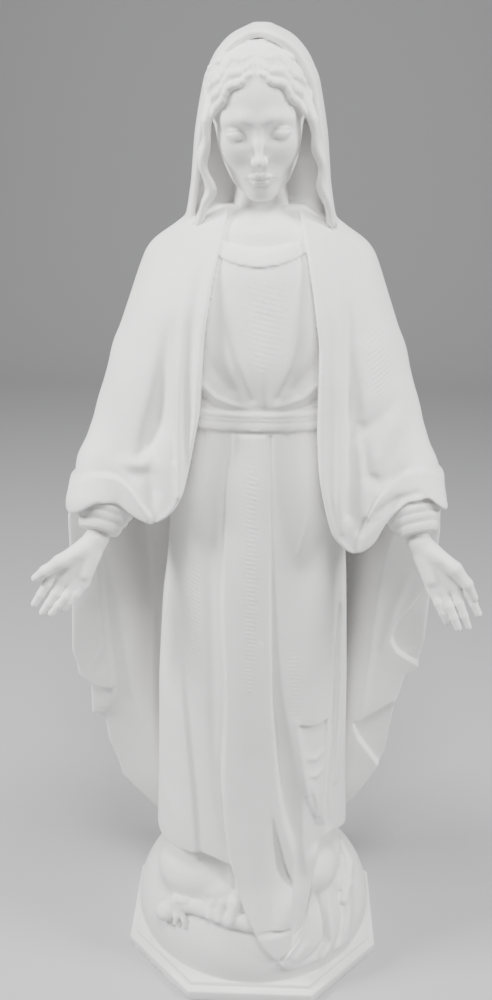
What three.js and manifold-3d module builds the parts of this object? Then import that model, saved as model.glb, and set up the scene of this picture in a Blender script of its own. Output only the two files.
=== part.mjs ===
import * as THREE from 'three';
import { mergeVertices } from 'three/addons/utils/BufferGeometryUtils.js';
import Module from 'manifold-3d';

// A life-size standing figure of the Virgin Mary, carved in one with her globe, the serpent and the plinth.
// Millimetres, +Z up, +X to the viewer's right, -Y toward the viewer, origin under the middle of the plinth.

// Driving dimensions of the plinth and the globe
const PLINTH = { width: 472, depth: 430, corner: 123, height: 22, stepIn: 13, stepHeight: 9 };
const STEP_TOP = PLINTH.height + PLINTH.stepHeight;
const GLOBE = { centre: [0, 3, 60], radii: [225, 206, 160], sink: 6 };

// The room that each part of the figure is sampled in, how finely (x, y, z steps), and the triangles it keeps
const CLOTH_GRID = { low: [-345, -230, 20], high: [345, 180, 1660], step: [8, 9, 14], triangles: 5750 };
const HEAD_GRID = { low: [-135, -150, 1320], high: [135, 80, 1625], step: [4.5, 4.5, 4.5], triangles: 1350 };
const LEFT_HAND_GRID = { low: [-370, -200, 760], high: [-170, -10, 1040], step: [3.6, 3.6, 3.6], triangles: 680 };
const RIGHT_HAND_GRID = { low: [170, -200, 750], high: [370, -10, 1040], step: [3.6, 3.6, 3.6], triangles: 680 };
const FEET_GRID = { low: [-200, -225, 40], high: [200, 20, 305], step: [4.5, 4.5, 4.5], triangles: 760 };

// How much the meeting surfaces and the cut edges of the garments are rounded
const ROUND = {
  hem: 8, innerSkirt: 3, lapel: 6, cuff: 10, armpit: 14, curtain: 5, shoulders: 60,
  veilRim: 7, veilFoot: 4, veilHollow: 5, cloakToCurtain: 14, cloakToVeil: 10,
};

// Gown: height, half width, front, back and where it is widest
const GOWN_ROWS = [
  [1385, 40, -58, 20, -18],
  [1345, 84, -86, 40, -18],
  [1310, 108, -112, 50, -20],
  [1240, 128, -124, 50, -20],
  [1170, 132, -132, 50, -20],
  [1100, 120, -116, 50, -15],
  [1080, 120, -118, 50, -15],
  [990, 132, -134, 50, -15],
  [890, 143, -142, 50, -15],
  [790, 151, -146, 50, -15],
  [590, 161, -150, 60, -15],
  [390, 167, -158, 70, -15],
  [240, 176, -172, 80, -10],
  [190, 186, -186, 80, -5],
  [140, 192, -200, 90, 0],
  [90, 200, -211, 100, 0],
];

// Belt and collar bands, standing proud of the gown
const BELT = { low: 1069, high: 1099, proud: 5 };
const COLLAR = { low: 1311, high: 1328, proud: 3, rise: 0.0034 };

// Cloak over the shoulders and arms, in the same columns
const CLOAK_ROWS = [
  [1392, 66, -48, 62, 10],
  [1364, 112, -74, 70, 10],
  [1338, 151, -94, 76, 6],
  [1300, 173, -116, 85, 0],
  [1250, 191, -136, 95, -10],
  [1165, 223, -150, 102, -22],
  [1100, 243, -155, 105, -32],
  [1055, 252, -160, 105, -45],
  [1020, 263, -164, 106, -55],
  [990, 282, -166, 106, -60],
  [945, 294, -168, 107, -64],
  [860, 300, -168, 108, -64],
];

// Edges of the cloak's front opening, and of the sleeves' lower rims
const LAPEL_LEFT = [
  [1400, -40], [1345, -51], [1292, -64], [1213, -76], [1099, -84], [1038, -96], [992, -105], [967, -115],
  [949, -128], [937, -143], [925, -175],
];
const LAPEL_RIGHT = [
  [1400, 50], [1346, 64], [1281, 77], [1201, 89], [1072, 90], [1012, 94], [964, 104], [922, 116],
  [896, 137], [885, 155], [875, 185],
];
const RIM_LEFT = [
  [-310, 925], [-285, 939], [-269, 946], [-241, 965], [-210, 960], [-183, 941], [-156, 931], [-120, 931],
];
const RIM_RIGHT = [
  [120, 888], [156, 888], [182, 905], [195, 935], [226, 972], [259, 980], [288, 953], [310, 935],
];

// Hanging part of the cloak behind the skirt: height and half width on each side
const CURTAIN_LEFT = [
  [1010, 268], [938, 294], [902, 304], [790, 311], [629, 322], [566, 317], [545, 296], [476, 299], [472, 277],
  [413, 274], [355, 259], [320, 254], [237, 201], [189, 173], [110, 100], [70, 10],
];
const CURTAIN_RIGHT = [
  [1010, 262], [938, 292], [878, 298], [766, 299], [646, 296], [594, 288], [579, 266], [518, 254], [384, 244],
  [325, 218], [269, 192], [239, 171], [120, 100], [70, 10],
];
const CURTAIN_SIDE = [
  [1010, 268], [902, 304], [790, 313], [629, 322], [545, 312], [476, 303], [413, 278], [355, 262], [300, 240],
  [237, 204], [189, 176], [110, 104], [70, 14],
];
const CURTAIN_EDGE = [[940, -58], [750, -18], [500, -8], [300, 20], [180, 50]];
const CURTAIN_FOLD_LEFT = [[900, 258], [836, 254], [681, 240], [515, 226], [288, 178]];
const CURTAIN_FOLD_RIGHT = [[900, 232], [830, 215], [650, 205], [500, 194], [300, 180]];
const CURTAIN = {
  top: 1000, low: 100, tall: 900, thickness: 12, valley: 46, foldWidth: 62, slack: 0.85,
  backTop: 104, backBottom: 140,
};
const BACK_FOLDS = { spacing: 74, depth: 7, top: 980, fade: 300 };

// Long folds of the skirt: height, place across, half width and depth
const PANEL_EDGE = [[1075, -36, 8, 3], [996, -45, 9, 8], [796, -51, 10, 12], [611, -45, 10, 12], [429, -52, 10, 13],
  [307, -41, 10, 12], [230, -26, 10, 10]];
const MIDDLE_FOLD = [[1075, 20, 8, 3], [710, 30, 10, 5], [615, 46, 14, 10], [495, 62, 18, 17], [432, 70, 19, 19],
  [344, 88, 19, 19], [285, 102, 18, 12]];
const LOW_FOLD = [[360, 24, 12, 0], [333, 28, 14, 9], [289, 43, 17, 15], [222, 72, 17, 13], [190, 84, 14, 0]];
const BAND_EDGE = [[800, -128, 12, 0], [765, -126, 12, 5], [583, -116, 12, 9], [388, -101, 12, 11], [275, -96, 12, 11]];
// The raised middle panel: how wide its edge and its far fade are, and the hollow beside it
const PANEL = { edge: 8, width: 90, fade: 80, hollowPlace: 17, hollowWidth: 11, hollowShare: 0.7 };
const BAND_WIDTH = 14;
const HEM = [
  [-190, 250], [-162, 258], [-135, 270], [-100, 283], [-65, 282], [-27, 266], [-19, 212], [2, 165], [20, 127], [48, 88],
  [67, 99], [81, 118], [94, 138], [102, 172], [108, 215], [113, 262], [124, 290], [140, 300], [160, 284], [176, 258],
  [192, 215], [215, 195],
];

// Folds of the sleeves, between the arm and the lapel
const SLEEVE_VALLEY_LEFT = [[1290, -112, 10, 0], [1222, -122, 14, 10], [1152, -130, 20, 20], [1080, -146, 26, 34],
  [1030, -156, 22, 30], [970, -160, 12, 8]];
const SLEEVE_VALLEY_RIGHT = [[1290, 120, 10, 0], [1222, 132, 14, 8], [1152, 142, 18, 16], [1080, 158, 22, 26],
  [1010, 172, 20, 22], [950, 178, 12, 8]];

// Veil: the same columns as the gown, and the front edge of its opening
const VEIL_ROWS = [
  [1623, 4, -24, -6, -16],
  [1618, 27, -58, 18, -14],
  [1610, 42, -80, 34, -10],
  [1601, 52, -98, 46, -8],
  [1586, 65, -118, 62, -4],
  [1556, 80, -136, 80, 0],
  [1520, 88, -140, 90, 4],
  [1483, 95, -134, 94, 8],
  [1414, 103, -120, 92, 12],
  [1378, 111, -104, 84, 14],
  [1348, 122, -96, 80, 18],
  [1320, 130, -90, 82, 20],
];
const CROWN = 1623;
const VEIL_EDGE = [
  [1620, -96], [1601, -88], [1588, -82], [1561, -71], [1532, -60], [1487, -50], [1433, -40], [1385, -34], [1340, -30],
];
const VEIL = {
  thickness: 11, low: 1322, frontGap: 4, hollowBack: 0, hollowLow: 1352, crownBack: -62, crownFrom: 1555, crownFade: 40,
};

// Head, bowed forward, and the neck
const HEAD = { centre: [-3, -32, 1510], bow: 20, roll: 3, size: 0.93 };

const stone = new THREE.MeshStandardMaterial({ color: 0xf1f0ec, roughness: 0.78, metalness: 0 });

// Small helpers

const clamp = (t, low = 0, high = 1) => Math.min(high, Math.max(low, t));
const mix = (a, b, t) => a + (b - a) * t;
const ease = t => clamp(t) ** 2 * (3 - 2 * clamp(t));
const bump = (offset, width) => Math.exp(-((offset / width) ** 2));

// Every shape below is a field: a distance that is negative inside the stone.
// blend joins two shapes with a rounded crotch of size k, and trim keeps what is inside both.
function blend(a, b, k) {
  const t = clamp(0.5 + (0.5 * (b - a)) / k);
  return mix(b, a, t) - k * t * (1 - t);
}
const trim = (a, b, k) => -blend(-a, -b, k);

// Reads a table of rows by its first column
function table(rows) {
  const sorted = [...rows].sort((a, b) => a[0] - b[0]);
  return key => {
    let i = 1;
    while (i < sorted.length - 1 && key > sorted[i][0]) i++;
    const [low, high] = [sorted[i - 1], sorted[i]];
    const t = clamp((key - low[0]) / (high[0] - low[0]));
    return low.slice(1).map((value, k) => mix(value, high[k + 1], t));
  };
}

// An upright column with an oval section, flatter at the front or back as its row says
function oval(x, y, [half, front, back, widest]) {
  const depth = y < widest ? widest - front : back - widest;
  const px = x / half;
  const py = (y - widest) / depth;
  const reach = Math.hypot(px, py);
  const slope = Math.hypot(px / half, py / depth);
  return reach < 1e-6 ? -Math.min(half, depth) : (reach * (reach - 1)) / slope;
}

function ellipsoid(x, y, z, [cx, cy, cz], [rx, ry, rz]) {
  const p = [x - cx, y - cy, z - cz];
  const reach = Math.hypot(p[0] / rx, p[1] / ry, p[2] / rz);
  const slope = Math.hypot(p[0] / rx ** 2, p[1] / ry ** 2, p[2] / rz ** 2);
  return reach < 1e-6 ? -Math.min(rx, ry, rz) : (reach * (reach - 1)) / slope;
}

// A chain of round limbs through points that hold x, y, z and radius
function limb(x, y, z, points, k = 4) {
  let distance = Infinity;
  for (let i = 1; i < points.length; i++) {
    const [ax, ay, az, ar] = points[i - 1];
    const [bx, by, bz, br] = points[i];
    const d = [bx - ax, by - ay, bz - az];
    const p = [x - ax, y - ay, z - az];
    const t = clamp((p[0] * d[0] + p[1] * d[1] + p[2] * d[2]) / (d[0] ** 2 + d[1] ** 2 + d[2] ** 2));
    const reach = Math.hypot(p[0] - t * d[0], p[1] - t * d[1], p[2] - t * d[2]) - mix(ar, br, t);
    distance = distance === Infinity ? reach : blend(distance, reach, k);
  }
  return distance;
}

// Gown

const gownRow = table(GOWN_ROWS);
const panelEdge = table(PANEL_EDGE);
const middleFold = table(MIDDLE_FOLD);
const lowFold = table(LOW_FOLD);
const bandEdge = table(BAND_EDGE);
const hemAt = table(HEM);
const INNER_SKIRT = 34;
const GOWN_TOP = 1372;

function foldDepth(x, z, row) {
  const [place, width, depth] = row(z);
  return depth * bump(x - place, width);
}

function gownRelief(x, z) {
  const [panelX, , panelRise] = panelEdge(z);
  const panel = panelRise * ease((x - panelX) / PANEL.edge + 0.5) * ease((panelX + PANEL.width - x) / PANEL.fade);
  const beside = PANEL.hollowShare * panelRise * bump(x - panelX + PANEL.hollowPlace, PANEL.hollowWidth);
  const [bandX, , bandRise] = bandEdge(z);
  const band = bandRise * ease((bandX - x) / BAND_WIDTH + 0.5);
  return panel - beside + band - foldDepth(x, z, middleFold) - foldDepth(x, z, lowFold);
}

function gownAt(x, z) {
  const row = gownRow(z);
  const relief = z < BELT.low ? gownRelief(x, z) : 0;
  const collarShift = COLLAR.rise * x * x;
  const belt = z > BELT.low && z < BELT.high ? BELT.proud : 0;
  const collar = z > COLLAR.low + collarShift && z < COLLAR.high + collarShift ? COLLAR.proud : 0;
  const [hem] = hemAt(x);
  return y => {
    const column = oval(x, y, row) - (y < row[3] ? relief + belt + collar : 0);
    const skirt = trim(column, Math.max(hem - z, z - GOWN_TOP), ROUND.hem);
    return blend(skirt, Math.max(column + INNER_SKIRT, z - BELT.low), ROUND.innerSkirt);
  };
}

// Cloak over the shoulders and arms

const cloakRow = table(CLOAK_ROWS);
const lapelLeft = table(LAPEL_LEFT);
const lapelRight = table(LAPEL_RIGHT);
const rimLeft = table(RIM_LEFT);
const rimRight = table(RIM_RIGHT);
const valleyLeft = table(SLEEVE_VALLEY_LEFT);
const valleyRight = table(SLEEVE_VALLEY_RIGHT);
const armLimb = side => [
  [side * 128, 4, 1292, 48],
  [side * 176, -6, 1160, 48],
  [side * 200, -24, 1075, 48],
  [side * 233, -78, 1000, 44],
  [side * 246, -112, 950, 40],
];
const OPENING_BACK = -40;
const SHOULDER_TOP = 1386;

function cloakAt(x, z) {
  const row = cloakRow(z);
  const [edgeLeft] = lapelLeft(z);
  const [edgeRight] = lapelRight(z);
  const slot = Math.max(edgeLeft - x, x - edgeRight);
  const [rim] = x < 0 ? rimLeft(x) : rimRight(x);
  const valley = foldDepth(x, z, valleyLeft) + foldDepth(x, z, valleyRight);
  const arm = armLimb(x < 0 ? -1 : 1);
  return y => {
    const column = oval(x, y, row) + (y < row[3] ? valley : 0);
    const draped = blend(column, limb(x, y, z, arm, 12), ROUND.armpit);
    const opened = trim(draped, -Math.max(slot, y - OPENING_BACK), ROUND.lapel);
    return trim(opened, Math.max(rim - z, z - SHOULDER_TOP), ROUND.cuff);
  };
}

// The cloak hanging behind the skirt

const curtainLeft = table(CURTAIN_LEFT);
const curtainRight = table(CURTAIN_RIGHT);
const curtainSide = table(CURTAIN_SIDE);
const curtainEdge = table(CURTAIN_EDGE);
const curtainFoldLeft = table(CURTAIN_FOLD_LEFT);
const curtainFoldRight = table(CURTAIN_FOLD_RIGHT);

function curtainAt(x, z) {
  const out = Math.abs(x);
  const [half] = x < 0 ? curtainLeft(z) : curtainRight(z);
  const [fold] = x < 0 ? curtainFoldLeft(z) : curtainFoldRight(z);
  const [side] = curtainSide(z);
  const [edge] = curtainEdge(z);
  const front = edge + Math.max(0, CURTAIN.valley - edge) * ease((fold - out) / CURTAIN.foldWidth);
  const deep = mix(CURTAIN.backBottom, CURTAIN.backTop, clamp((z - CURTAIN.low) / CURTAIN.tall));
  const start = edge + CURTAIN.thickness;
  const folds = BACK_FOLDS.depth * Math.cos((2 * Math.PI * x) / BACK_FOLDS.spacing)
    * ease((BACK_FOLDS.top - z) / BACK_FOLDS.fade);
  const back = start + (deep + folds - start) * Math.sqrt(1 - Math.min(1, out / side) ** 2);
  return y => {
    const sheet = trim(trim(front - y, y - back, ROUND.curtain) * CURTAIN.slack, out - half, ROUND.curtain);
    return trim(sheet, z - CURTAIN.top, ROUND.shoulders);
  };
}

// Veil, hollow around the face

const veilRow = table(VEIL_ROWS);
const veilEdge = table(VEIL_EDGE);

function veilAt(x, z) {
  const row = veilRow(z);
  const [half, front, back, widest] = veilRow(z + VEIL.thickness);
  const inner = [Math.max(half - VEIL.thickness, 3), Math.min(front + VEIL.frontGap, widest - 3), back, widest];
  const [edge] = veilEdge(z);
  const hollowBack = mix(VEIL.hollowBack, VEIL.crownBack, ease((z - VEIL.crownFrom) / VEIL.crownFade));
  return y => {
    const shell = trim(trim(oval(x, y, row), edge - y, ROUND.veilRim), VEIL.low - z, ROUND.veilFoot);
    const hollow = Math.max(oval(x, y, inner), y - hollowBack, VEIL.hollowLow - z, z - CROWN + VEIL.thickness);
    return trim(Math.max(shell, z - CROWN), -hollow, ROUND.veilHollow);
  };
}

// Head in its own frame: right, forward and up, measured in a head 205 mm high from chin to crown

const radians = Math.PI / 180;
const bowTurn = new THREE.Matrix4().makeRotationX(HEAD.bow * radians);
const headTurn = new THREE.Matrix4().makeRotationY(-HEAD.roll * radians).multiply(bowTurn);
const headFrame = new THREE.Matrix4()
  .makeTranslation(...HEAD.centre)
  .multiply(headTurn)
  .multiply(new THREE.Matrix4().makeScale(HEAD.size, HEAD.size, HEAD.size));
const toHead = headFrame.clone().invert();

// The ovals that make up the face, each with its centre, its radii and how softly it joins; the eye socket is cut
const FACE = {
  skull: { centre: [0, -8, 26], radii: [70, 88, 80] },
  jaw: { centre: [0, 22, -34], radii: [56, 58, 70], soft: 30 },
  cheek: { centre: [36, 48, -28], radii: [22, 26, 26], soft: 16 },
  socket: { centre: [30, 92, -3], radii: [20, 14, 12], soft: 14 },
  eyelid: { centre: [29, 66, -3], radii: [15, 13, 12], soft: 3 },
  nose: { points: [[0, 78, 14, 7], [0, 90, -20, 7], [0, 95, -34, 8.5]], soft: 8 },
  nostril: { centre: [9, 86, -38], radii: [7, 8, 6], soft: 4 },
  upperLip: { centre: [0, 76, -60], radii: [16, 11, 5], soft: 5 },
  lowerLip: { centre: [0, 74, -69], radii: [13, 11, 5], soft: 5 },
  chin: { centre: [0, 60, -88], radii: [22, 19, 18], soft: 16 },
};

function faceField(right, forward, up) {
  const x = Math.abs(right);
  const oval = ({ centre, radii }) => ellipsoid(x, forward, up, centre, radii);
  let head = oval(FACE.skull);
  for (const part of [FACE.jaw, FACE.cheek]) head = blend(head, oval(part), part.soft);
  head = trim(head, -oval(FACE.socket), FACE.socket.soft);
  head = blend(head, oval(FACE.eyelid), FACE.eyelid.soft);
  head = blend(head, limb(x, forward, up, FACE.nose.points), FACE.nose.soft);
  for (const part of [FACE.nostril, FACE.upperLip, FACE.lowerLip, FACE.chin]) {
    head = blend(head, oval(part), part.soft);
  }
  return head;
}

// Neck, the cap of hair with the oval it leaves open, and the wavy lock on each side
const NECK = [[0, 0, 1430, 40], [0, -12, 1375, 41], [0, -22, 1340, 58]];
const HAIR_CAP = { centre: [0, -10, 26], radii: [76, 92, 83] };
const HAIR_OPENING = { centre: [0, 90, -20], radii: [60, 64, 94], soft: 8 };
const LOCK_LEFT = [
  [-33, -96, 1546, 11], [-60, -92, 1520, 11], [-74, -82, 1496, 10], [-79, -74, 1456, 9], [-71, -66, 1416, 9],
  [-77, -60, 1390, 9], [-87, -54, 1366, 9], [-94, -46, 1340, 9],
];
const LOCK_RIGHT = [
  [27, -96, 1546, 11], [54, -92, 1522, 11], [71, -82, 1500, 10], [79, -74, 1464, 9], [86, -68, 1432, 9],
  [88, -62, 1408, 9], [100, -56, 1382, 9], [108, -46, 1340, 9],
];

function hairField(x, y, z, right, forward, up) {
  const cap = ellipsoid(right, forward, up, HAIR_CAP.centre, HAIR_CAP.radii);
  const opening = ellipsoid(right, forward, up, HAIR_OPENING.centre, HAIR_OPENING.radii);
  const locks = Math.min(limb(x, y, z, LOCK_LEFT, 8), limb(x, y, z, LOCK_RIGHT, 8));
  return blend(trim(cap, -opening, HAIR_OPENING.soft), locks, 6);
}

function headAt(x, z) {
  const point = new THREE.Vector3();
  return y => {
    point.set(x, y, z).applyMatrix4(toHead);
    const [right, forward, up] = [point.x, -point.y, point.z];
    const face = faceField(right, forward, up) * HEAD.size;
    const bare = blend(face, limb(x, y, z, NECK, 12), 14);
    return blend(bare, hairField(x, y, z, right, forward, up) * HEAD.size, 3);
  };
}

// Hands with their tight undersleeves. Each finger goes from the wrist over its knuckle to its tip.

const HANDS = {
  '-1': {
    sleeve: [[-222, -66, 985, 46], [-232, -100, 945, 39], [-243, -124, 908, 30]],
    wrist: [-246, -126, 896],
    knuckles: [[-311, -146, 846], [-297, -151, 833], [-281, -152, 826], [-267, -149, 828]],
    tips: [[-343, -163, 797], [-330, -168, 785], [-316, -170, 785], [-297, -164, 790]],
    thumb: [[-262, -134, 884, 13], [-300, -156, 868, 10.5], [-322, -163, 855, 8.5], [-338, -164, 843, 6.5]],
  },
  '1': {
    sleeve: [[226, -66, 992, 46], [238, -100, 950, 39], [249, -124, 913, 30]],
    wrist: [251, -126, 901],
    knuckles: [[319, -143, 846], [306, -150, 836], [291, -152, 829], [276, -149, 829]],
    tips: [[346, -163, 797], [331, -168, 776], [316, -170, 775], [299, -164, 783]],
    thumb: [[270, -134, 888, 13], [305, -156, 870, 10.5], [324, -162, 848, 8.5], [337, -162, 824, 6.5]],
  },
};
const FINGER = { root: 8.6, tip: 6.2, curl: 5 };
const PALM = { wrist: 15, knuckle: 10.5 };

function handAt(side) {
  const { sleeve, wrist, knuckles, tips, thumb } = HANDS[side];
  const palmRays = knuckles.map(knuckle => [[...wrist, PALM.wrist], [...knuckle, PALM.knuckle]]);
  const fingers = knuckles.map((knuckle, i) => {
    const middle = knuckle.map((value, axis) => mix(value, tips[i][axis], 0.5) - (axis === 1 ? FINGER.curl : 0));
    return [[...knuckle, FINGER.root], [...middle, mix(FINGER.root, FINGER.tip, 0.5)], [...tips[i], FINGER.tip]];
  });
  return (x, z) => y => {
    let palm = limb(x, y, z, thumb, 3);
    for (const ray of palmRays) palm = blend(palm, limb(x, y, z, ray), 9);
    let digits = Infinity;
    for (const finger of fingers) digits = Math.min(digits, limb(x, y, z, finger, 2));
    return blend(blend(palm, digits, 3), limb(x, y, z, sleeve, 6), 4);
  };
}

// Feet on the serpent, with the apple

const FOOT_LEFT = [
  [-150, -30, 196, 46], [-112, -62, 232, 44], [-80, -98, 226, 42], [-62, -122, 200, 32], [-56, -132, 184, 26],
  [-40, -144, 171, 20],
];
const TOES_LEFT = [
  [[-34, -128, 190, 14], [-30, -158, 182, 11.5], [-37, -176, 158, 10.5]],
  [[-52, -130, 188, 12], [-52, -156, 180, 9.5], [-58, -172, 157, 8.5]],
  [[-68, -128, 184, 11], [-68, -152, 176, 8.5], [-76, -166, 157, 7.5]],
  [[-80, -124, 178, 10], [-82, -144, 170, 8], [-89, -158, 157, 7]],
  [[-90, -116, 172, 9], [-94, -134, 164, 7.5], [-100, -148, 157, 6.5]],
];
const FOOT_RIGHT = [[96, -92, 216, 38], [118, -62, 228, 33], [140, -36, 206, 25], [146, -58, 190, 18]];
const TOES_RIGHT = [
  [[136, -58, 194, 12], [126, -80, 188, 9.5], [122, -88, 182, 8.5]],
  [[145, -62, 190, 10], [138, -88, 178, 8], [135, -95, 172, 7]],
  [[154, -60, 184, 10], [150, -90, 169, 7.5], [148, -97, 163, 6.5]],
  [[162, -54, 180, 9], [161, -82, 166, 7], [160, -88, 160, 6.5]],
  [[168, -46, 178, 9], [170, -70, 164, 7], [170, -76, 158, 6]],
];
const SERPENT = [
  [-140, -126, 148, 14], [-118, -136, 152, 14], [-93, -146, 157, 15], [-65, -158, 156, 15], [-38, -168, 153, 15],
  [-7, -172, 151, 15], [20, -174, 149, 15], [53, -170, 146, 13], [74, -160, 144, 9],
];
const SERPENT_JAW = [[-136, -134, 146, 8], [-138, -146, 132, 6], [-141, -152, 120, 3.5]];
// The train of the gown, laid over the globe, and its rolled hem around the right foot
const TRAIN_FOLDS = [
  [[113, -100, 186, 6], [122, -130, 156, 9], [137, -150, 118, 11], [130, -167, 87, 11], [99, -186, 74, 8]],
  [
    [164, -6, 188, 8], [180, -40, 164, 8], [177, -74, 152, 8], [170, -104, 136, 8], [160, -134, 96, 8],
    [150, -150, 64, 7],
  ],
];
const APPLE = { centre: [-160, -131, 131], radius: 20 };

function feetAt(x, z) {
  return y => {
    let left = limb(x, y, z, FOOT_LEFT, 10);
    for (const toe of TOES_LEFT) left = blend(left, limb(x, y, z, toe), 4);
    let right = limb(x, y, z, FOOT_RIGHT, 10);
    for (const toe of TOES_RIGHT) right = blend(right, limb(x, y, z, toe), 4);
    const serpent = Math.min(limb(x, y, z, SERPENT, 6), limb(x, y, z, SERPENT_JAW, 3));
    const train = Math.min(...TRAIN_FOLDS.map(fold => limb(x, y, z, fold, 8)));
    const [ax, ay, az] = APPLE.centre;
    const apple = Math.hypot(x - ax, y - ay, z - az) - APPLE.radius;
    return Math.min(left, right, train, blend(serpent, apple, 6));
  };
}

// Turns a field into a closed mesh: each cell of a box grid is split into six tetrahedra,
// and the surface crosses the edges whose ends lie on different sides of it

const AXIS_ORDERS = [[1, 2], [1, 4], [2, 1], [2, 4], [4, 1], [4, 2]];
const CORNER_PATHS = AXIS_ORDERS.map(([first, second]) => [0, first, first | second, 7]);
const TETRA_EDGES = [[0, 1], [0, 2], [0, 3], [1, 2], [1, 3], [2, 3]];
const NEAR_END = 0.08;

function polygonize(columnAt, low, high, step) {
  const count = low.map((value, axis) => Math.ceil((high[axis] - value) / step[axis]) + 1);
  const [nx, ny, nz] = count;
  const values = new Float32Array(nx * ny * nz).fill(1);
  for (let k = 1; k < nz - 1; k++) {
    for (let i = 1; i < nx - 1; i++) {
      const column = columnAt(low[0] + i * step[0], low[2] + k * step[2]);
      for (let j = 1; j < ny - 1; j++) values[(k * ny + j) * nx + i] = column(low[1] + j * step[1]);
    }
  }
  const shift = [0, 1, nx, nx + 1, nx * ny, nx * ny + 1, nx * ny + nx, nx * ny + nx + 1];
  const placeOf = node => {
    const i = node % nx;
    const j = Math.floor(node / nx) % ny;
    const k = Math.floor(node / (nx * ny));
    return [low[0] + i * step[0], low[1] + j * step[1], low[2] + k * step[2]];
  };
  const points = [];
  const faces = [];
  const known = new Map();
  const crossing = (node, from, to) => {
    const a = node + shift[from];
    const b = node + shift[to];
    const key = a * 8 + (to - from);
    if (!known.has(key)) {
      const t = clamp(values[a] / (values[a] - values[b]), NEAR_END, 1 - NEAR_END);
      const [pa, pb] = [placeOf(a), placeOf(b)];
      known.set(key, points.length);
      points.push(pa.map((value, axis) => mix(value, pb[axis], t)));
    }
    return known.get(key);
  };
  const addFace = (a, b, c, outward) => {
    const [p, q, r] = [points[a], points[b], points[c]];
    const u = [q[0] - p[0], q[1] - p[1], q[2] - p[2]];
    const v = [r[0] - p[0], r[1] - p[1], r[2] - p[2]];
    const normal = [u[1] * v[2] - u[2] * v[1], u[2] * v[0] - u[0] * v[2], u[0] * v[1] - u[1] * v[0]];
    const facing = normal[0] * outward[0] + normal[1] * outward[1] + normal[2] * outward[2];
    faces.push(facing > 0 ? [a, b, c] : [a, c, b]);
  };
  for (let k = 0; k < nz - 1; k++) {
    for (let j = 0; j < ny - 1; j++) {
      for (let i = 0; i < nx - 1; i++) {
        const node = (k * ny + j) * nx + i;
        const inside = shift.map(offset => values[node + offset] < 0);
        const filled = inside.filter(Boolean).length;
        if (filled === 0 || filled === 8) continue;
        for (const path of CORNER_PATHS) {
          const held = path.filter(corner => inside[corner]);
          if (held.length === 0 || held.length === 4) continue;
          const free = path.filter(corner => !inside[corner]);
          const outward = outwardOf(held, free, step);
          const ring = cutRing(path, inside).map(([from, to]) => crossing(node, from, to));
          for (let n = 2; n < ring.length; n++) addFace(ring[0], ring[n - 1], ring[n], outward);
        }
      }
    }
  }
  return { points, faces };
}

// Direction from the stone's corners of a tetrahedron to its empty corners
function outwardOf(held, free, step) {
  const middle = (corners, bit) => corners.filter(corner => corner & bit).length / corners.length;
  return [1, 2, 4].map((bit, axis) => (middle(free, bit) - middle(held, bit)) * step[axis]);
}

// The cut edges of a tetrahedron, in order around the cut
function cutRing(path, inside) {
  const cut = TETRA_EDGES.map(([a, b]) => [path[a], path[b]]).filter(([from, to]) => inside[from] !== inside[to]);
  if (cut.length === 3) return cut;
  const shares = (a, b) => a.some(corner => b.includes(corner));
  const [first, ...rest] = cut;
  const opposite = rest.find(edge => !shares(first, edge));
  const [second, fourth] = rest.filter(edge => edge !== opposite);
  return [first, second, opposite, fourth];
}

// Collapses edges of a closed mesh, cheapest first, where the cost is the squared distance
// to the planes of the faces that an edge's ends have stood for

function planeQuadric(p, q, r) {
  const u = [q[0] - p[0], q[1] - p[1], q[2] - p[2]];
  const v = [r[0] - p[0], r[1] - p[1], r[2] - p[2]];
  const n = [u[1] * v[2] - u[2] * v[1], u[2] * v[0] - u[0] * v[2], u[0] * v[1] - u[1] * v[0]];
  const size = Math.hypot(...n) || 1;
  const [a, b, c] = n.map(value => value / size);
  const d = -(a * p[0] + b * p[1] + c * p[2]);
  return [a * a, a * b, a * c, a * d, b * b, b * c, b * d, c * c, c * d, d * d].map(value => (value * size) / 2);
}

function quadricCost(q, [x, y, z]) {
  return q[0] * x * x + 2 * q[1] * x * y + 2 * q[2] * x * z + 2 * q[3] * x + q[4] * y * y + 2 * q[5] * y * z
    + 2 * q[6] * y + q[7] * z * z + 2 * q[8] * z + q[9];
}

// The point of least cost, or null where the planes don't settle one
function quadricPoint(q) {
  const [a, b, c, d, e, f, g, h, i] = q;
  const m = [e * h - f * f, c * f - b * h, b * f - c * e];
  const det = a * m[0] + b * m[1] + c * m[2];
  if (Math.abs(det) < 1e-4 * (a + e + h) ** 3) return null;
  const inverse = [m, [m[1], a * h - c * c, b * c - a * f], [m[2], b * c - a * f, a * e - b * b]];
  return inverse.map(row => -(row[0] * d + row[1] * g + row[2] * i) / det);
}

class Heap {
  items = [];

  push(item) {
    const items = this.items;
    let i = items.push(item) - 1;
    while (i > 0) {
      const parent = (i - 1) >> 1;
      if (items[parent].cost <= item.cost) break;
      items[i] = items[parent];
      i = parent;
    }
    items[i] = item;
  }

  pop() {
    const items = this.items;
    const top = items[0];
    const last = items.pop();
    if (items.length > 0) {
      let i = 0;
      for (;;) {
        let child = 2 * i + 1;
        if (child >= items.length) break;
        if (child + 1 < items.length && items[child + 1].cost < items[child].cost) child++;
        if (items[child].cost >= last.cost) break;
        items[i] = items[child];
        i = child;
      }
      items[i] = last;
    }
    return top;
  }
}

// A collapse may turn a face by no more than this cosine, and long edges cost a little more
const MIN_TURN = 0.25;
const LENGTH_COST = 1e-3;
const SMALLEST_FACE = 1e-2;

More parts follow.
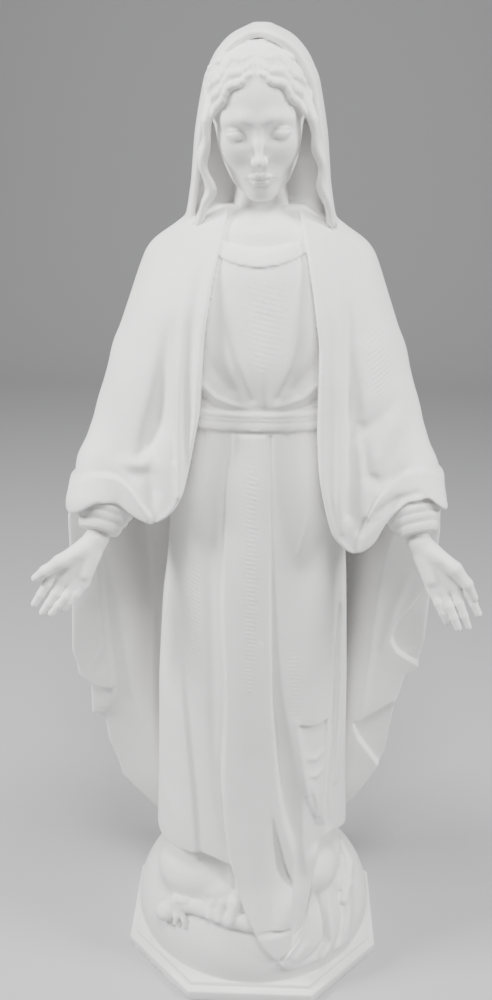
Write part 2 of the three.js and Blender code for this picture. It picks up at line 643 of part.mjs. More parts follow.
function decimate({ points, faces }, target) {
  const quadrics = points.map(() => new Array(10).fill(0));
  const around = points.map(() => new Set());
  const stamps = new Uint32Array(points.length);
  faces.forEach((face, index) => {
    const quadric = planeQuadric(...face.map(corner => points[corner]));
    for (const corner of face) {
      around[corner].add(index);
      quadric.forEach((value, k) => { quadrics[corner][k] += value; });
    }
  });
  const neighbours = vertex => {
    const found = new Set();
    for (const index of around[vertex]) for (const corner of faces[index]) if (corner !== vertex) found.add(corner);
    return found;
  };
  const heap = new Heap();
  const offer = (a, b) => {
    const joint = quadrics[a].map((value, k) => value + quadrics[b][k]);
    const middle = points[a].map((value, axis) => (value + points[b][axis]) / 2);
    const length = Math.hypot(...points[a].map((value, axis) => value - points[b][axis]));
    let place = quadricPoint(joint) ?? middle;
    if (Math.hypot(...place.map((value, axis) => value - middle[axis])) > length) place = middle;
    const cost = Math.max(0, quadricCost(joint, place)) + LENGTH_COST * length ** 2;
    heap.push({ cost, a, b, place, stampA: stamps[a], stampB: stamps[b] });
  };
  for (const [a, b, c] of faces) {
    if (a < b) offer(a, b);
    if (b < c) offer(b, c);
    if (c < a) offer(c, a);
  }
  const normalOf = (face, moved, place) => {
    const [p, q, r] = face.map(corner => (moved.includes(corner) ? place : points[corner]));
    const u = [q[0] - p[0], q[1] - p[1], q[2] - p[2]];
    const v = [r[0] - p[0], r[1] - p[1], r[2] - p[2]];
    return new THREE.Vector3(u[1] * v[2] - u[2] * v[1], u[2] * v[0] - u[0] * v[2], u[0] * v[1] - u[1] * v[0]);
  };
  const keepsFacing = (a, b, place) => {
    for (const vertex of [a, b]) {
      for (const index of around[vertex]) {
        const face = faces[index];
        if (face.includes(a) && face.includes(b)) continue;
        const before = normalOf(face, [], place);
        const after = normalOf(face, [a, b], place);
        const sizes = before.length() * after.length();
        if (after.length() < SMALLEST_FACE || before.dot(after) < MIN_TURN * sizes) return false;
      }
    }
    return true;
  };
  let left = faces.length;
  while (left > target && heap.items.length > 0) {
    const { a, b, place, stampA, stampB } = heap.pop();
    if (stamps[a] !== stampA || stamps[b] !== stampB) continue;
    const besideB = neighbours(b);
    const shared = [...neighbours(a)].filter(vertex => besideB.has(vertex));
    if (shared.length !== 2 || !keepsFacing(a, b, place)) continue;
    for (const index of [...around[b]]) {
      const face = faces[index];
      if (face.includes(a)) {
        for (const corner of face) around[corner].delete(index);
        faces[index] = null;
        left--;
      } else {
        faces[index] = face.map(corner => (corner === b ? a : corner));
        around[a].add(index);
      }
    }
    around[b].clear();
    points[a] = place;
    quadrics[a] = quadrics[a].map((value, k) => value + quadrics[b][k]);
    stamps[a]++;
    stamps[b]++;
    for (const vertex of neighbours(a)) offer(a, vertex);
  }
  return { points, faces: faces.filter(face => face !== null) };
}

function geometryOf({ points, faces }) {
  const geometry = new THREE.BufferGeometry();
  const positions = faces.flatMap(face => face.flatMap(corner => points[corner]));
  geometry.setAttribute('position', new THREE.Float32BufferAttribute(positions, 3));
  return mergeVertices(geometry, 1e-4);
}

function sculpt(columnAt, { low, high, step, triangles }) {
  return geometryOf(decimate(polygonize(columnAt, low, high, step), triangles));
}

// Plinth, of two octagonal tiers, and the globe on it

function octagon(inset) {
  const half = PLINTH.width / 2 - inset;
  const deep = PLINTH.depth / 2 - inset;
  const cut = PLINTH.corner - inset * (2 - Math.SQRT2);
  const corners = [[half, deep - cut], [half - cut, deep], [cut - half, deep], [-half, deep - cut]];
  const facing = corners.map(([x, y]) => [-x, -y]);
  return new THREE.Shape([...corners, ...facing].map(([x, y]) => new THREE.Vector2(x, y)));
}

function tier(inset, height) {
  return new THREE.ExtrudeGeometry(octagon(inset), { depth: height, bevelEnabled: false });
}

function globeShape() {
  const [wide, deep, tall] = GLOBE.radii;
  const floor = PLINTH.height + GLOBE.sink - GLOBE.centre[2];
  const lowest = Math.asin(floor / tall);
  const steps = 10;
  const profile = [new THREE.Vector2(0, floor)];
  for (let i = 0; i < steps; i++) {
    const angle = mix(lowest, Math.PI / 2, i / steps);
    profile.push(new THREE.Vector2(wide * Math.cos(angle), tall * Math.sin(angle)));
  }
  profile.push(new THREE.Vector2(0, tall));
  const globe = new THREE.LatheGeometry(profile, 32);
  globe.rotateX(Math.PI / 2);
  globe.scale(1, deep / wide, 1);
  return globe.translate(...GLOBE.centre);
}

// Joins the parts into one body of stone

const wasm = await Module();
wasm.setup();

function solidOf(geometry) {
  geometry.deleteAttribute('normal');
  geometry.deleteAttribute('uv');
  const merged = mergeVertices(geometry, 1e-4);
  const vertProperties = new Float32Array(merged.attributes.position.array);
  const triVerts = new Uint32Array(merged.index.array);
  return new wasm.Manifold(new wasm.Mesh({ numProp: 3, vertProperties, triVerts }));
}

function meshOf(solid) {
  const { vertProperties, triVerts } = solid.getMesh();
  const geometry = new THREE.BufferGeometry();
  geometry.setAttribute('position', new THREE.BufferAttribute(vertProperties, 3));
  geometry.setIndex(new THREE.BufferAttribute(triVerts, 1));
  geometry.computeVertexNormals();
  return geometry;
}

// The garments end inside the globe
const CLOTH_LOW = GLOBE.centre[2] - 20;

function clothAt(x, z) {
  const gown = gownAt(x, z);
  const cloak = cloakAt(x, z);
  const curtain = curtainAt(x, z);
  const veil = veilAt(x, z);
  return y => {
    const hanging = blend(blend(cloak(y), curtain(y), ROUND.cloakToCurtain), veil(y), ROUND.cloakToVeil);
    return Math.max(Math.min(gown(y), hanging), CLOTH_LOW - z);
  };
}

const parts = [
  tier(0, PLINTH.height),
  tier(PLINTH.stepIn, STEP_TOP),
  globeShape(),
  sculpt(clothAt, CLOTH_GRID),
  sculpt(headAt, HEAD_GRID),
  sculpt(handAt(-1), LEFT_HAND_GRID),
  sculpt(handAt(1), RIGHT_HAND_GRID),
  sculpt(feetAt, FEET_GRID),
];

const whole = parts.map(solidOf).reduce((joined, next) => joined.add(next));
const statue = new THREE.Mesh(meshOf(whole), stone);
statue.name = 'statue';

const model = new THREE.Group();
model.add(statue);

export default model;
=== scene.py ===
import math

import bpy
import numpy as np
import openvdb
from mathutils import Matrix


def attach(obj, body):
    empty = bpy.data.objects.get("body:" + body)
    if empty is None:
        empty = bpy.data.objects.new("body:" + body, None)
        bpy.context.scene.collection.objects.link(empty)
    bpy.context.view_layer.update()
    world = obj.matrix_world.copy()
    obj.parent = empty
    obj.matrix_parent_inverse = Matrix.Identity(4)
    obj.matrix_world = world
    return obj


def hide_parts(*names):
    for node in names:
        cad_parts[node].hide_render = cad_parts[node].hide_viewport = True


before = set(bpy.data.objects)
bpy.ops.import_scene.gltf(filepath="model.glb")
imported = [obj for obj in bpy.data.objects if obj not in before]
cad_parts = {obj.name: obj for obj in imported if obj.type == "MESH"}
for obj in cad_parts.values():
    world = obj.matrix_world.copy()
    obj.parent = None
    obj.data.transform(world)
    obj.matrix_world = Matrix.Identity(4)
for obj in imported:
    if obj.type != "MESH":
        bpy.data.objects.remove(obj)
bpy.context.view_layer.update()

# The carving is worked out in millimetres, in the frame of the CAD solid, and scaled once at the end.
# x runs to the viewer's right, y away from the viewer and z up.
MM = 0.001

# Sizes of the plinth and the globe
PLINTH_WIDTH = 472.0
PLINTH_DEPTH = 430.0
PLINTH_CORNER = 123.0
TIER_HEIGHT = 22.0
STEP_IN = 13.0
STEP_HEIGHT = 9.0
TIER_EDGE = 3.0
GLOBE_CENTRE = (0.0, 3.0, 60.0)
GLOBE_RADII = (225.0, 206.0, 160.0)

# Sampling step of each part of the carving, and the triangles that it keeps
CLOTH_STEP, CLOTH_TRIANGLES = 2.35, 142000
HEAD_STEP, HEAD_TRIANGLES = 1.1, 38000
HAND_STEP, HAND_TRIANGLES = 1.1, 8500
BASE_STEP, BASE_TRIANGLES = 1.9, 19000

# The room that is sampled for each part: its low and its high corner
CLOTH_BOX = ((-345, -230, 30), (345, 180, 1640))
HEAD_BOX = ((-130, -145, 1325), (130, 75, 1615))
HAND_LEFT_BOX = ((-365, -195, 765), (-175, -30, 1025))
HAND_RIGHT_BOX = ((175, -195, 755), (365, -30, 1030))
BASE_BOX = ((-240, -219, -4), (240, 219, 300))

# Gown: height, half width, front, back and where it is widest
GOWN_ROWS = [
    (1385, 40, -58, 20, -18), (1345, 84, -86, 40, -18), (1310, 108, -112, 50, -20),
    (1240, 128, -124, 50, -20), (1170, 132, -132, 50, -20), (1100, 120, -116, 50, -15),
    (1080, 120, -118, 50, -15), (990, 132, -134, 50, -15), (890, 143, -142, 50, -15),
    (790, 151, -146, 50, -15), (590, 161, -150, 60, -15), (390, 167, -158, 70, -15),
    (240, 176, -172, 80, -10), (190, 186, -186, 80, -5), (140, 192, -200, 90, 0),
    (90, 200, -211, 100, 0),
]
INNER_SKIRT = 34.0
HEM = [
    (-190, 250), (-162, 258), (-135, 270), (-100, 283), (-65, 282), (-27, 266), (-19, 212), (2, 165),
    (20, 127), (48, 88), (67, 99), (81, 118), (94, 138), (102, 172), (108, 215), (113, 262), (124, 290),
    (140, 300), (160, 284), (176, 258), (192, 215), (215, 195),
]
BELT_LOW, BELT_HIGH, BELT_PROUD = 1069.0, 1099.0, 5.5
COLLAR_LOW, COLLAR_HIGH, COLLAR_PROUD, COLLAR_RISE = 1311.0, 1334.0, 4.5, 0.0034

# Cloak over the shoulders and arms, in the same columns
CLOAK_ROWS = [
    (1392, 66, -48, 62, 10), (1364, 112, -74, 70, 10), (1338, 151, -94, 76, 6), (1300, 173, -116, 85, 0),
    (1250, 191, -136, 95, -10), (1165, 223, -150, 102, -22), (1100, 243, -155, 105, -32),
    (1055, 252, -160, 105, -45), (1020, 263, -164, 106, -55), (990, 282, -166, 106, -60),
    (945, 294, -168, 107, -64), (860, 300, -168, 108, -64),
]
SHOULDER_TOP = 1386.0
# Sleeved arm: distance from the middle, y, z and radius
ARM = [
    (128, 4, 1292, 48), (176, -6, 1160, 48), (200, -24, 1075, 48), (233, -78, 1000, 44),
    (246, -112, 950, 40),
]
OPENING_BACK = -40.0
LAPEL_LEFT = [
    (1400, -40), (1345, -51), (1292, -64), (1213, -76), (1099, -84), (1038, -96), (992, -105), (967, -115),
    (949, -128), (937, -143), (925, -175),
]
LAPEL_RIGHT = [
    (1400, 50), (1346, 64), (1281, 77), (1201, 89), (1072, 90), (1012, 94), (964, 104), (922, 116),
    (896, 137), (885, 155), (875, 185),
]
RIM_LEFT = [
    (-310, 925), (-285, 939), (-269, 946), (-241, 965), (-210, 960), (-183, 941), (-156, 931),
    (-120, 931),
]
RIM_RIGHT = [(120, 888), (156, 888), (182, 905), (195, 935), (226, 972), (259, 980), (288, 953), (310, 935)]

# Cloak hanging behind the skirt
CURTAIN_LEFT = [
    (1010, 268), (938, 294), (902, 304), (790, 311), (629, 322), (566, 317), (545, 296), (476, 299),
    (472, 277), (413, 274), (355, 259), (320, 254), (237, 201), (189, 173), (110, 100), (70, 10),
]
CURTAIN_RIGHT = [
    (1010, 262), (938, 292), (878, 298), (766, 299), (646, 296), (594, 288), (579, 266), (518, 254),
    (384, 244), (325, 218), (269, 192), (239, 171), (120, 100), (70, 10),
]
CURTAIN_SIDE = [
    (1010, 268), (902, 304), (790, 313), (629, 322), (545, 312), (476, 303), (413, 278), (355, 262),
    (300, 240), (237, 204), (189, 176), (110, 104), (70, 14),
]
CURTAIN_EDGE = [(940, -58), (750, -18), (500, -8), (300, 20), (180, 50)]
CURTAIN_FOLD_LEFT = [(900, 258), (836, 254), (681, 240), (515, 226), (288, 178)]
CURTAIN_FOLD_RIGHT = [(900, 232), (830, 215), (650, 205), (500, 194), (300, 180)]
CURTAIN_TOP = 1000.0
CURTAIN_THICKNESS = 12.0
CURTAIN_VALLEY = 46.0
CURTAIN_FOLD_WIDTH = 62.0
BACK_TOP, BACK_BOTTOM = 104.0, 140.0
BACK_FOLD_SPACING, BACK_FOLD_DEPTH = 74.0, 7.0
BACK_FOLD_TOP, BACK_FOLD_FADE = 980.0, 400.0
BACK_SWAY, BACK_SWAY_LENGTH, BACK_SPREAD = 9.0, 170.0, 0.00004
BACK_SPREAD_TOP, BACK_LOW, BACK_TALL = 900.0, 100.0, 900.0

# Veil, in the same columns, and the front edge of its opening
CROWN = 1623.0
VEIL_ROWS = [
    (1623, 4, -24, -6, -16), (1618, 27, -58, 18, -14), (1610, 42, -80, 34, -10), (1601, 52, -98, 46, -8),
    (1586, 65, -118, 62, -4), (1556, 80, -136, 80, 0), (1520, 88, -140, 90, 4), (1483, 95, -134, 94, 8),
    (1414, 103, -120, 92, 12), (1378, 111, -104, 84, 14), (1348, 122, -96, 80, 18),
    (1320, 130, -90, 82, 20),
]
VEIL_EDGE = [
    (1620, -88), (1601, -79), (1588, -73), (1561, -65), (1532, -57), (1487, -50), (1433, -40), (1385, -34),
    (1340, -30),
]
VEIL_THICKNESS = 9.0
VEIL_PEAK, VEIL_PEAK_PLACE, VEIL_PEAK_WIDTH = 10.0, -8.0, 22.0
VEIL_PEAK_FROM, VEIL_PEAK_FADE = 1560.0, 30.0
VEIL_LOW = 1322.0
# The hollow around the face: how far back it reaches, that at the crown, and where it starts
HOLLOW_BACK, HOLLOW_CROWN_BACK, HOLLOW_LOW = 0.0, -62.0, 1352.0
HOLLOW_CROWN_FROM, HOLLOW_CROWN_FADE = 1555.0, 40.0

# Head, bowed forward and a little to the side
HEAD_CENTRE = (-3.0, -32.0, 1510.0)
HEAD_BOW = math.radians(20)
HEAD_ROLL = math.radians(3)
HEAD_SIZE = 0.93

# Long folds of the skirt: height, place across, width and depth
PANEL_EDGE = [
    (1075, -36, 8, 3), (996, -45, 9, 8), (796, -51, 10, 12), (611, -45, 10, 12), (429, -52, 10, 13),
    (307, -41, 10, 12), (230, -26, 10, 10),
]
BAND_EDGE = [
    (800, -128, 12, 0), (765, -126, 12, 5), (583, -116, 12, 9), (388, -101, 12, 9), (275, -96, 12, 8),
]

LEFT_HOLLOW = [
    (1060, -65, 9, 0), (992, -66, 10, 3), (861, -69, 12, 6), (720, -66, 12, 8), (626, -65, 11, 7),
    (528, -63, 11, 6), (448, -59, 11, 6), (368, -53, 9, 5), (308, -46, 8, 2),
]
# Relief strokes on the skirt: points across, height, half width and how far they stand out
SKIRT_STROKES = [
    [(-31, 1068, 4, -4), (-33, 1030, 3, -1), (-36, 1000, 3, 0)],
    [(19, 1070, 4, -5), (20, 1040, 3, -2), (21, 1000, 3, 0)],
    [(42, 1070, 5, -4), (46, 1045, 4, 0)],
    [(-76, 1066, 6, -3), (-84, 1010, 6, -2), (-88, 960, 6, 0)],
    [(82, 962, 4, 0), (77, 915, 4, 2.2), (66, 876, 3, 1.6)],
    [(132, 837, 5, -1), (135, 765, 6, -5), (136, 653, 6, -8), (135, 537, 6, -8), (130, 439, 6, -8),
     (128, 379, 5, -6), (137, 312, 5, -2)],
    [(145, 754, 4, 3), (146, 680, 4, 5), (147, 565, 4, 5), (147, 402, 4, 4)],
    [(72, 565, 5, 2), (85, 485, 5, 3), (99, 396, 5, 4), (116, 330, 4, 2)],
    [(86, 492, 5, 1), (97, 480, 6, 3.5), (109, 475, 6, 4), (122, 484, 5, 1)],
    [(92, 456, 5, 1), (101, 445, 6, 3.5), (111, 441, 6, 4), (122, 449, 5, 1)],
    [(100, 432, 4, 3), (110, 400, 5, 4), (116, 350, 5, 3)],
    [(20, 300, 10, 0), (24, 240, 12, -4), (34, 195, 12, -5), (36, 165, 10, -4)],
    [(72, 226, 16, 0), (70, 198, 24, 6), (64, 172, 22, 7), (58, 158, 14, 5)],
    [(16, 152, 5, -2), (36, 148, 5, -7), (60, 146, 5, -7), (78, 146, 4, -1)],
    [(100, 400, 8, -3), (108, 350, 13, -10), (114, 318, 16, -13), (112, 290, 14, -12)],
    [(84, 400, 6, 0), (88, 340, 8, 5), (94, 290, 9, 6), (98, 245, 9, 3)],
]

# The folds that hang from one sharp side: height, place of that side, run to the other side and depth
SHARP_FOLD = [
    (1064, 20, 6, 2), (900, 23, 7, 4), (729, 27, 13, 7), (616, 30, 22, 12), (529, 37, 34, 19),
    (442, 44, 46, 23), (348, 57, 55, 24), (302, 75, 46, 12),
]
HOLLOW_FOLD = [(385, 36, 12, 0), (352, 41, 22, 6), (308, 51, 34, 13), (264, 60, 42, 17), (226, 75, 56, 19)]
PANEL_SPAN, PANEL_FADE = 95.0, 85.0
HOLLOW_FOLD_END, HOLLOW_FOLD_FADE = 190.0, 70.0

# The hollow under the bent knee
KNEE_LINE = [(40, 566), (72, 562), (98, 549), (112, 547), (125, 549), (160, 560)]
KNEE_LEFT = [(560, 72), (485, 85), (396, 99), (324, 112)]
KNEE_RIGHT = [(560, 126), (466, 123), (404, 120), (324, 114)]
KNEE_DEPTH, KNEE_LENGTH = 8.0, 190.0

# Bodice and belt
BODICE_STROKES = [
    [(7, 1240, 24, 0), (9, 1190, 20, 3), (11, 1150, 14, 5), (13, 1118, 8, 5)],
    [(-47, 1240, 6, 0), (-35, 1196, 7, -4), (-23, 1160, 7, -7), (-8, 1122, 6, -6)],
    [(67, 1228, 6, 0), (60, 1196, 7, -4), (48, 1160, 7, -7), (30, 1124, 6, -6)],
    [(-78, 1200, 12, -3), (-64, 1165, 14, -7), (-40, 1136, 12, -6)],
    [(92, 1200, 12, -3), (80, 1165, 14, -7), (56, 1138, 12, -6)],
    [(-92, 1156, 6, 5), (-80, 1139, 5, 5), (-61, 1121, 5, 5), (-36, 1113, 4, 4), (-14, 1110, 3, 1)],
    [(101, 1156, 6, 5), (90, 1140, 5, 5), (68, 1121, 5, 5), (40, 1113, 4, 4), (20, 1110, 3, 1)],
    [(-88, 1120, 6, -5), (-66, 1107, 4, -4), (-45, 1104, 3, -1)],
    [(98, 1120, 6, -5), (76, 1107, 4, -4), (50, 1104, 3, -1)],
]

# Comb marks that the chisel left: strokes on the gown and on the right sleeve, their spacing and slant
COMB_STROKES = [
    [(-7, 1060, 8, 0), (-6, 1010, 9, 0.7), (-5, 800, 9, 0.7), (-6, 640, 8, 0.6), (-7, 600, 8, 0)],
    [(-96, 870, 12, 0), (-97, 830, 13, 0.6), (-99, 620, 13, 0.6), (-100, 570, 12, 0)],
    [(62, 720, 9, 0), (65, 690, 10, 0.6), (71, 590, 10, 0.6), (73, 560, 9, 0)],
    [(8, 1300, 26, 0), (9, 1270, 34, 0.5), (10, 1190, 30, 0.5), (12, 1130, 16, 0)],
]
COMB_SLEEVE = [(160, 1250, 14, 0), (168, 1210, 22, 1.1), (182, 1140, 20, 1.1), (190, 1110, 14, 0)]
COMB_SPACING, COMB_SLANT = 7.6, 0.25

# Belt: how far it sags, and the height, depth and width of its cut lines
BELT_SAG = 0.0007
BELT_LINES = (1096.0, 1089.5, 1083.0)
BELT_LINE_DEPTH, BELT_LINE_WIDTH = 1.6, 1.6

# Cloak relief
SLEEVE_STROKES = [
    [(-125, 1240, 8, 0), (-131, 1180, 12, -9), (-138, 1123, 14, -18), (-146, 1080, 17, -24),
     (-156, 1050, 16, -20), (-172, 1034, 10, -8)],
    [(-216, 1020, 8, 1), (-194, 1022, 9, 4), (-172, 1028, 9, 6), (-148, 1048, 9, 6), (-132, 1080, 7, 2)],
    [(-184, 1004, 9, -3), (-160, 1006, 13, -8), (-154, 985, 11, -8), (-156, 960, 8, -3)],
    [(-210, 1012, 6, 2), (-185, 994, 8, 4), (-170, 968, 8, 4), (-158, 945, 6, 2)],
    [(-100, 1300, 7, 1), (-108, 1224, 7, 4), (-113, 1154, 7, 6), (-114, 1096, 6, 7), (-113, 1037, 6, 7),
     (-114, 984, 6, 5)],
    [(-83, 1300, 8, -2), (-91, 1224, 9, -4), (-97, 1154, 8, -5), (-98, 1096, 7, -6), (-102, 1037, 6, -6),
     (-107, 992, 4, -3)],
    [(-112, 1290, 3, 0), (-117, 1224, 3, -2), (-122, 1153, 3, -4), (-122, 1095, 3, -5),
     (-120, 1037, 3, -4)],
    [(113, 1290, 7, 1), (116, 1224, 7, 3), (118, 1157, 8, 5), (122, 1070, 7, 6), (125, 980, 7, 6),
     (131, 930, 6, 3)],
    [(124, 1296, 6, -1), (129, 1225, 7, -5), (132, 1157, 8, -8), (136, 1100, 8, -11), (136, 1060, 7, -9),
     (138, 1000, 7, -8), (139, 955, 7, -6)],
    [(165, 1190, 22, 3), (162, 1130, 18, 6), (154, 1100, 11, 6)],
    [(138, 1180, 9, -1), (143, 1122, 11, -5), (156, 1078, 12, -7), (182, 1092, 12, -5),
     (206, 1116, 10, -1)],
    [(200, 1078, 18, 5), (182, 1040, 13, 6), (176, 1020, 10, 4)],
    [(158, 1060, 8, -3), (167, 1014, 10, -6), (184, 1000, 10, -6), (212, 1012, 10, -2)],
    [(143, 1066, 9, -3), (148, 1009, 10, -6), (146, 947, 8, -3)],
    [(152, 1053, 7, 2), (158, 1009, 8, 4), (165, 956, 8, 4)],
    [(160, 929, 7, -5), (183, 956, 7, -7), (209, 974, 7, -6), (240, 987, 6, -4), (258, 985, 5, -1)],
]
LAPEL_ROLL = 2.0
# The turned-back cuffs: the line where each begins, and its rise
CUFF_LEFT = [
    (-292, 985), (-274, 996), (-256, 1004), (-238, 1008), (-211, 1006), (-191, 996), (-176, 980),
    (-162, 958), (-150, 944), (-135, 930),
]
CUFF_RIGHT = [
    (150, 905), (163, 934), (171, 964), (185, 988), (203, 1006), (223, 1019), (248, 1024), (268, 1016),
    (292, 1000),
]
CUFF_RISE = 7.0
CUFF_START, CUFF_START_FADE = 152.0, 12.0
SLEEVE_WALL, SLEEVE_DEPTH, SLEEVE_HOLLOW_BACK = 9.0, 24.0, -55.0

# Relief on the cloak behind the skirt and on the veil
CURTAIN_STROKES = [
    [(205, 760, 9, 1), (200, 640, 9, 3), (192, 520, 9, 3), (178, 380, 9, 1)],
    [(256, 790, 9, 1), (236, 710, 9, 3), (222, 640, 8, 2)],
    [(-181, 800, 6, 1), (-186, 640, 6, 3), (-189, 470, 6, 3), (-188, 330, 6, 1)],
]
# The flap of cloth on the left that hangs over the next layer: its hem, the hem below and its inner crease
FLAP_HEM = [(-335, 640), (-320, 617), (-310, 574), (-297, 557), (-280, 546), (-253, 542), (-235, 540)]
FLAP_LOWER_HEM = [(-320, 490), (-300, 478), (-276, 479), (-260, 502), (-250, 531), (-240, 540)]
FLAP_CREASE = [(860, -259), (785, -257), (702, -256), (618, -254), (547, -250), (470, -250)]
FLAP_RISE, FLAP_LOWER_RISE = 12.0, 5.0
# Where the hem on the right turns back and shows the layer behind it
TURN_UPPER = [
    (812, 312), (800, 300), (757, 285), (721, 263), (684, 240), (653, 233), (628, 245), (612, 267),
    (598, 292),
]
TURN_LOWER = [
    (525, 256), (513, 237), (489, 208), (466, 177), (431, 188), (401, 206), (360, 232), (345, 250),
]
TURN_DEPTH = 13.0
TURN_UPPER_LOW, TURN_UPPER_HIGH = 596.0, 815.0
TURN_LOWER_LOW, TURN_LOWER_HIGH = 345.0, 528.0
VEIL_STROKES = [
    [(-99, 1510, 5, 0), (-107, 1420, 6, -4), (-117, 1330, 7, -5)],
    [(101, 1500, 5, 0), (109, 1420, 6, -4), (119, 1330, 7, -5)],
    [(-16, 1598, 6, 2), (-12, 1615, 8, 1)],
]

# Face, in the head's frame: centre and radii of each oval, points and radii of each limb
SKULL = ((0, -8, 24), (71, 86, 82))
JAW = ((0, 21, -34), (57, 57, 71))
JAW_LINE = [(8, 60, -91, 13), (25, 42, -80, 13), (45, 6, -54, 13)]
CHEEK = ((33, 49, -26), (22, 23, 26))
BROW = [(0, 72, 18, 5), (20, 73, 22, 4.5), (44, 58, 14, 4)]
SOCKET = ((30, 89, 0), (20, 14, 13))
NOSE_RIDGE = [(0, 73, 16, 5.4), (0, 85, -12, 5.4), (0, 95, -30, 6.6)]
NOSE_TIP = ((0, 96, -33), (8, 8, 7.5))
NOSE_WING = ((8.2, 88, -37), (4.4, 7.5, 5))
NOSTRIL = ((4.4, 92, -43), (2.4, 4, 3))
MOUTH_MOUND = ((0, 65, -66), (28, 15, 20))
LIP_GROOVE = [(0, 86, -48, 2.4), (0, 87, -56, 2.6)]
UPPER_LIP = [(0, 83, -61.6, 3.4), (5, 83.2, -60.6, 4), (12, 80, -62.4, 3.2), (19, 75.4, -65.6, 1.8)]
LOWER_LIP = [(0, 81.6, -70.6, 4.9), (7, 80.8, -70, 4.3), (15, 76.6, -67.6, 2.8)]
LIP_LINE = [(0, 87.6, -66, 1.4), (7, 86.6, -65.4, 1.4), (19, 77.4, -66.4, 0.9)]
CHIN = ((0, 63, -91), (22, 18, 15))
CHIN_HOLLOW = ((0, 86, -80), (13, 6, 4))

# Eyes, in the head's frame: centre of the ball, height of the lash line and of the crease above it
EYE_CENTRE = (30.5, 61.0, -3)
EYE_LASH, EYE_CREASE = -8.5, 4.5
EYE_LID, EYE_BALL, EYE_LOWER_LID = (17.8, 16.6, 15.6), (15.4, 13.6, 14.2), (16.6, 15.0, 15.2)

# Neck and hair
NECK = [(0, 2, 1430, 38), (2, -8, 1378, 38), (2, -22, 1336, 56)]
CHEST = [(-58, -36, 1322, 44), (60, -36, 1322, 44)]
# Side locks: height, place and depth of the middle strand
HAIR_LEFT = [
    (1501, -72, -83), (1480, -73, -78), (1456, -79, -74), (1438, -79, -70), (1419, -71, -66),
    (1406, -67, -63), (1394, -75, -58), (1368, -86, -50), (1352, -94, -42),
]
HAIR_RIGHT = [
    (1504, 70, -84), (1481, 77, -79), (1463, 79, -75), (1451, 84, -72), (1439, 87, -69), (1420, 86, -65),
    (1402, 91, -59), (1383, 100, -52), (1354, 106, -40),
]
HAIR_FALL_STEP = 6.0
HAIR_WAVE_LENGTH, HAIR_WAVE = 52.0, 1.6
# The oval of the face that the hair leaves open, in the head's frame: half width, half height and middle
FACE_HALF, FACE_TALL, FACE_LOW = 65.0, 93.0, -20.0
# Strands: how far outside that oval, radius, shift outward and back along the lock, and phase of the wave
HAIR_STRANDS = (
    (1.04, 4.6, -3.6, 4.0, 0.0), (1.14, 4.8, 0.0, 0.0, 1.1), (1.25, 4.6, 3.4, 6.0, 2.3),
    (1.37, 3.6, -1.0, 9.0, 3.4),
)
LOCK_TOP_SIZE, LOCK_END_SIZE, LOCK_TAPER = 0.9, 0.66, 150.0
PARTING_DEPTH, PARTING_WIDTH = 4.0, 2.5
TEMPLE_ANGLE = 1.02
ROLL_WAVE, ROLL_WAVES = 0.028, 13.0
HAIR_CAP = ((0, -10, 26), (77, 91, 80))
HAIR_CAP_LOW = -12.0
CAP_STRAND_SPACING, CAP_STRAND_DEPTH = 7.0, 1.1

# Hands: sleeve, wrist, knuckles from the first to the little finger, tips, thumb, pads and hollow of the palm
HANDS = {
    -1: {
        "sleeve": [(-222, -66, 985, 54), (-232, -98, 947, 46), (-243, -124, 908, 31)],
        "wrist": (-246, -126, 896),
        "knuckles": [(-311, -146, 846), (-297, -151, 833), (-281, -152, 826), (-267, -149, 828)],
        "tips": [(-343, -163, 797), (-330, -168, 785), (-316, -170, 785), (-297, -164, 790)],
        "thumb": [
            (-262, -134, 884, 13), (-300, -156, 868, 10.5), (-322, -163, 855, 8.5), (-338, -164, 843, 6.5),
        ],
        "pads": [
            [(-264, -140, 884, 11), (-290, -153, 869, 10)], [(-251, -138, 872, 10), (-263, -151, 845, 9)],
        ],
        "hollows": [[(-272, -165, 868, 9), (-287, -169, 848, 8)]],
    },
    1: {
        "sleeve": [(226, -66, 992, 54), (238, -98, 952, 46), (249, -124, 913, 31)],
        "wrist": (251, -126, 901),
        "knuckles": [(319, -143, 846), (306, -150, 836), (291, -152, 829), (276, -149, 829)],
        "tips": [(346, -163, 797), (331, -168, 776), (316, -170, 775), (299, -164, 783)],
        "thumb": [
            (270, -134, 888, 13), (305, -156, 870, 10.5), (324, -162, 848, 8.5), (337, -162, 824, 6.5),
        ],
        "pads": [[(271, -140, 888, 11), (297, -153, 872, 10)], [(256, -138, 876, 10), (271, -151, 848, 9)]],
        "hollows": [[(280, -165, 872, 9), (296, -169, 850, 8)]],
    },
}
PALM_WRIST, PALM_KNUCKLE = 15.0, 10.0
FINGER_ROOT, FINGER_TIP, FINGER_CURL = 8.4, 6.0, 4.5
CUFF_RINGS = (5.0, 18.0, 31.0)
CUFF_RING_RISE, CUFF_RING_WIDTH = 1.1, 4.2
CUFF_LINE_DEPTH, CUFF_LINE_WIDTH, CUFF_LINE_SHIFT = 0.9, 1.6, 6.5

# Feet, serpent, apple and train on the globe
FOOT_LEFT = [(-84, -66, 205, 36), (-68, -104, 190, 32), (-56, -130, 182, 26), (-40, -144, 171, 20)]
# Rounded swells of the ground under the hem: centre and radii
SWELLS = [((-78, -62, 186), (100, 82, 62)), ((108, -72, 204), (50, 60, 44))]
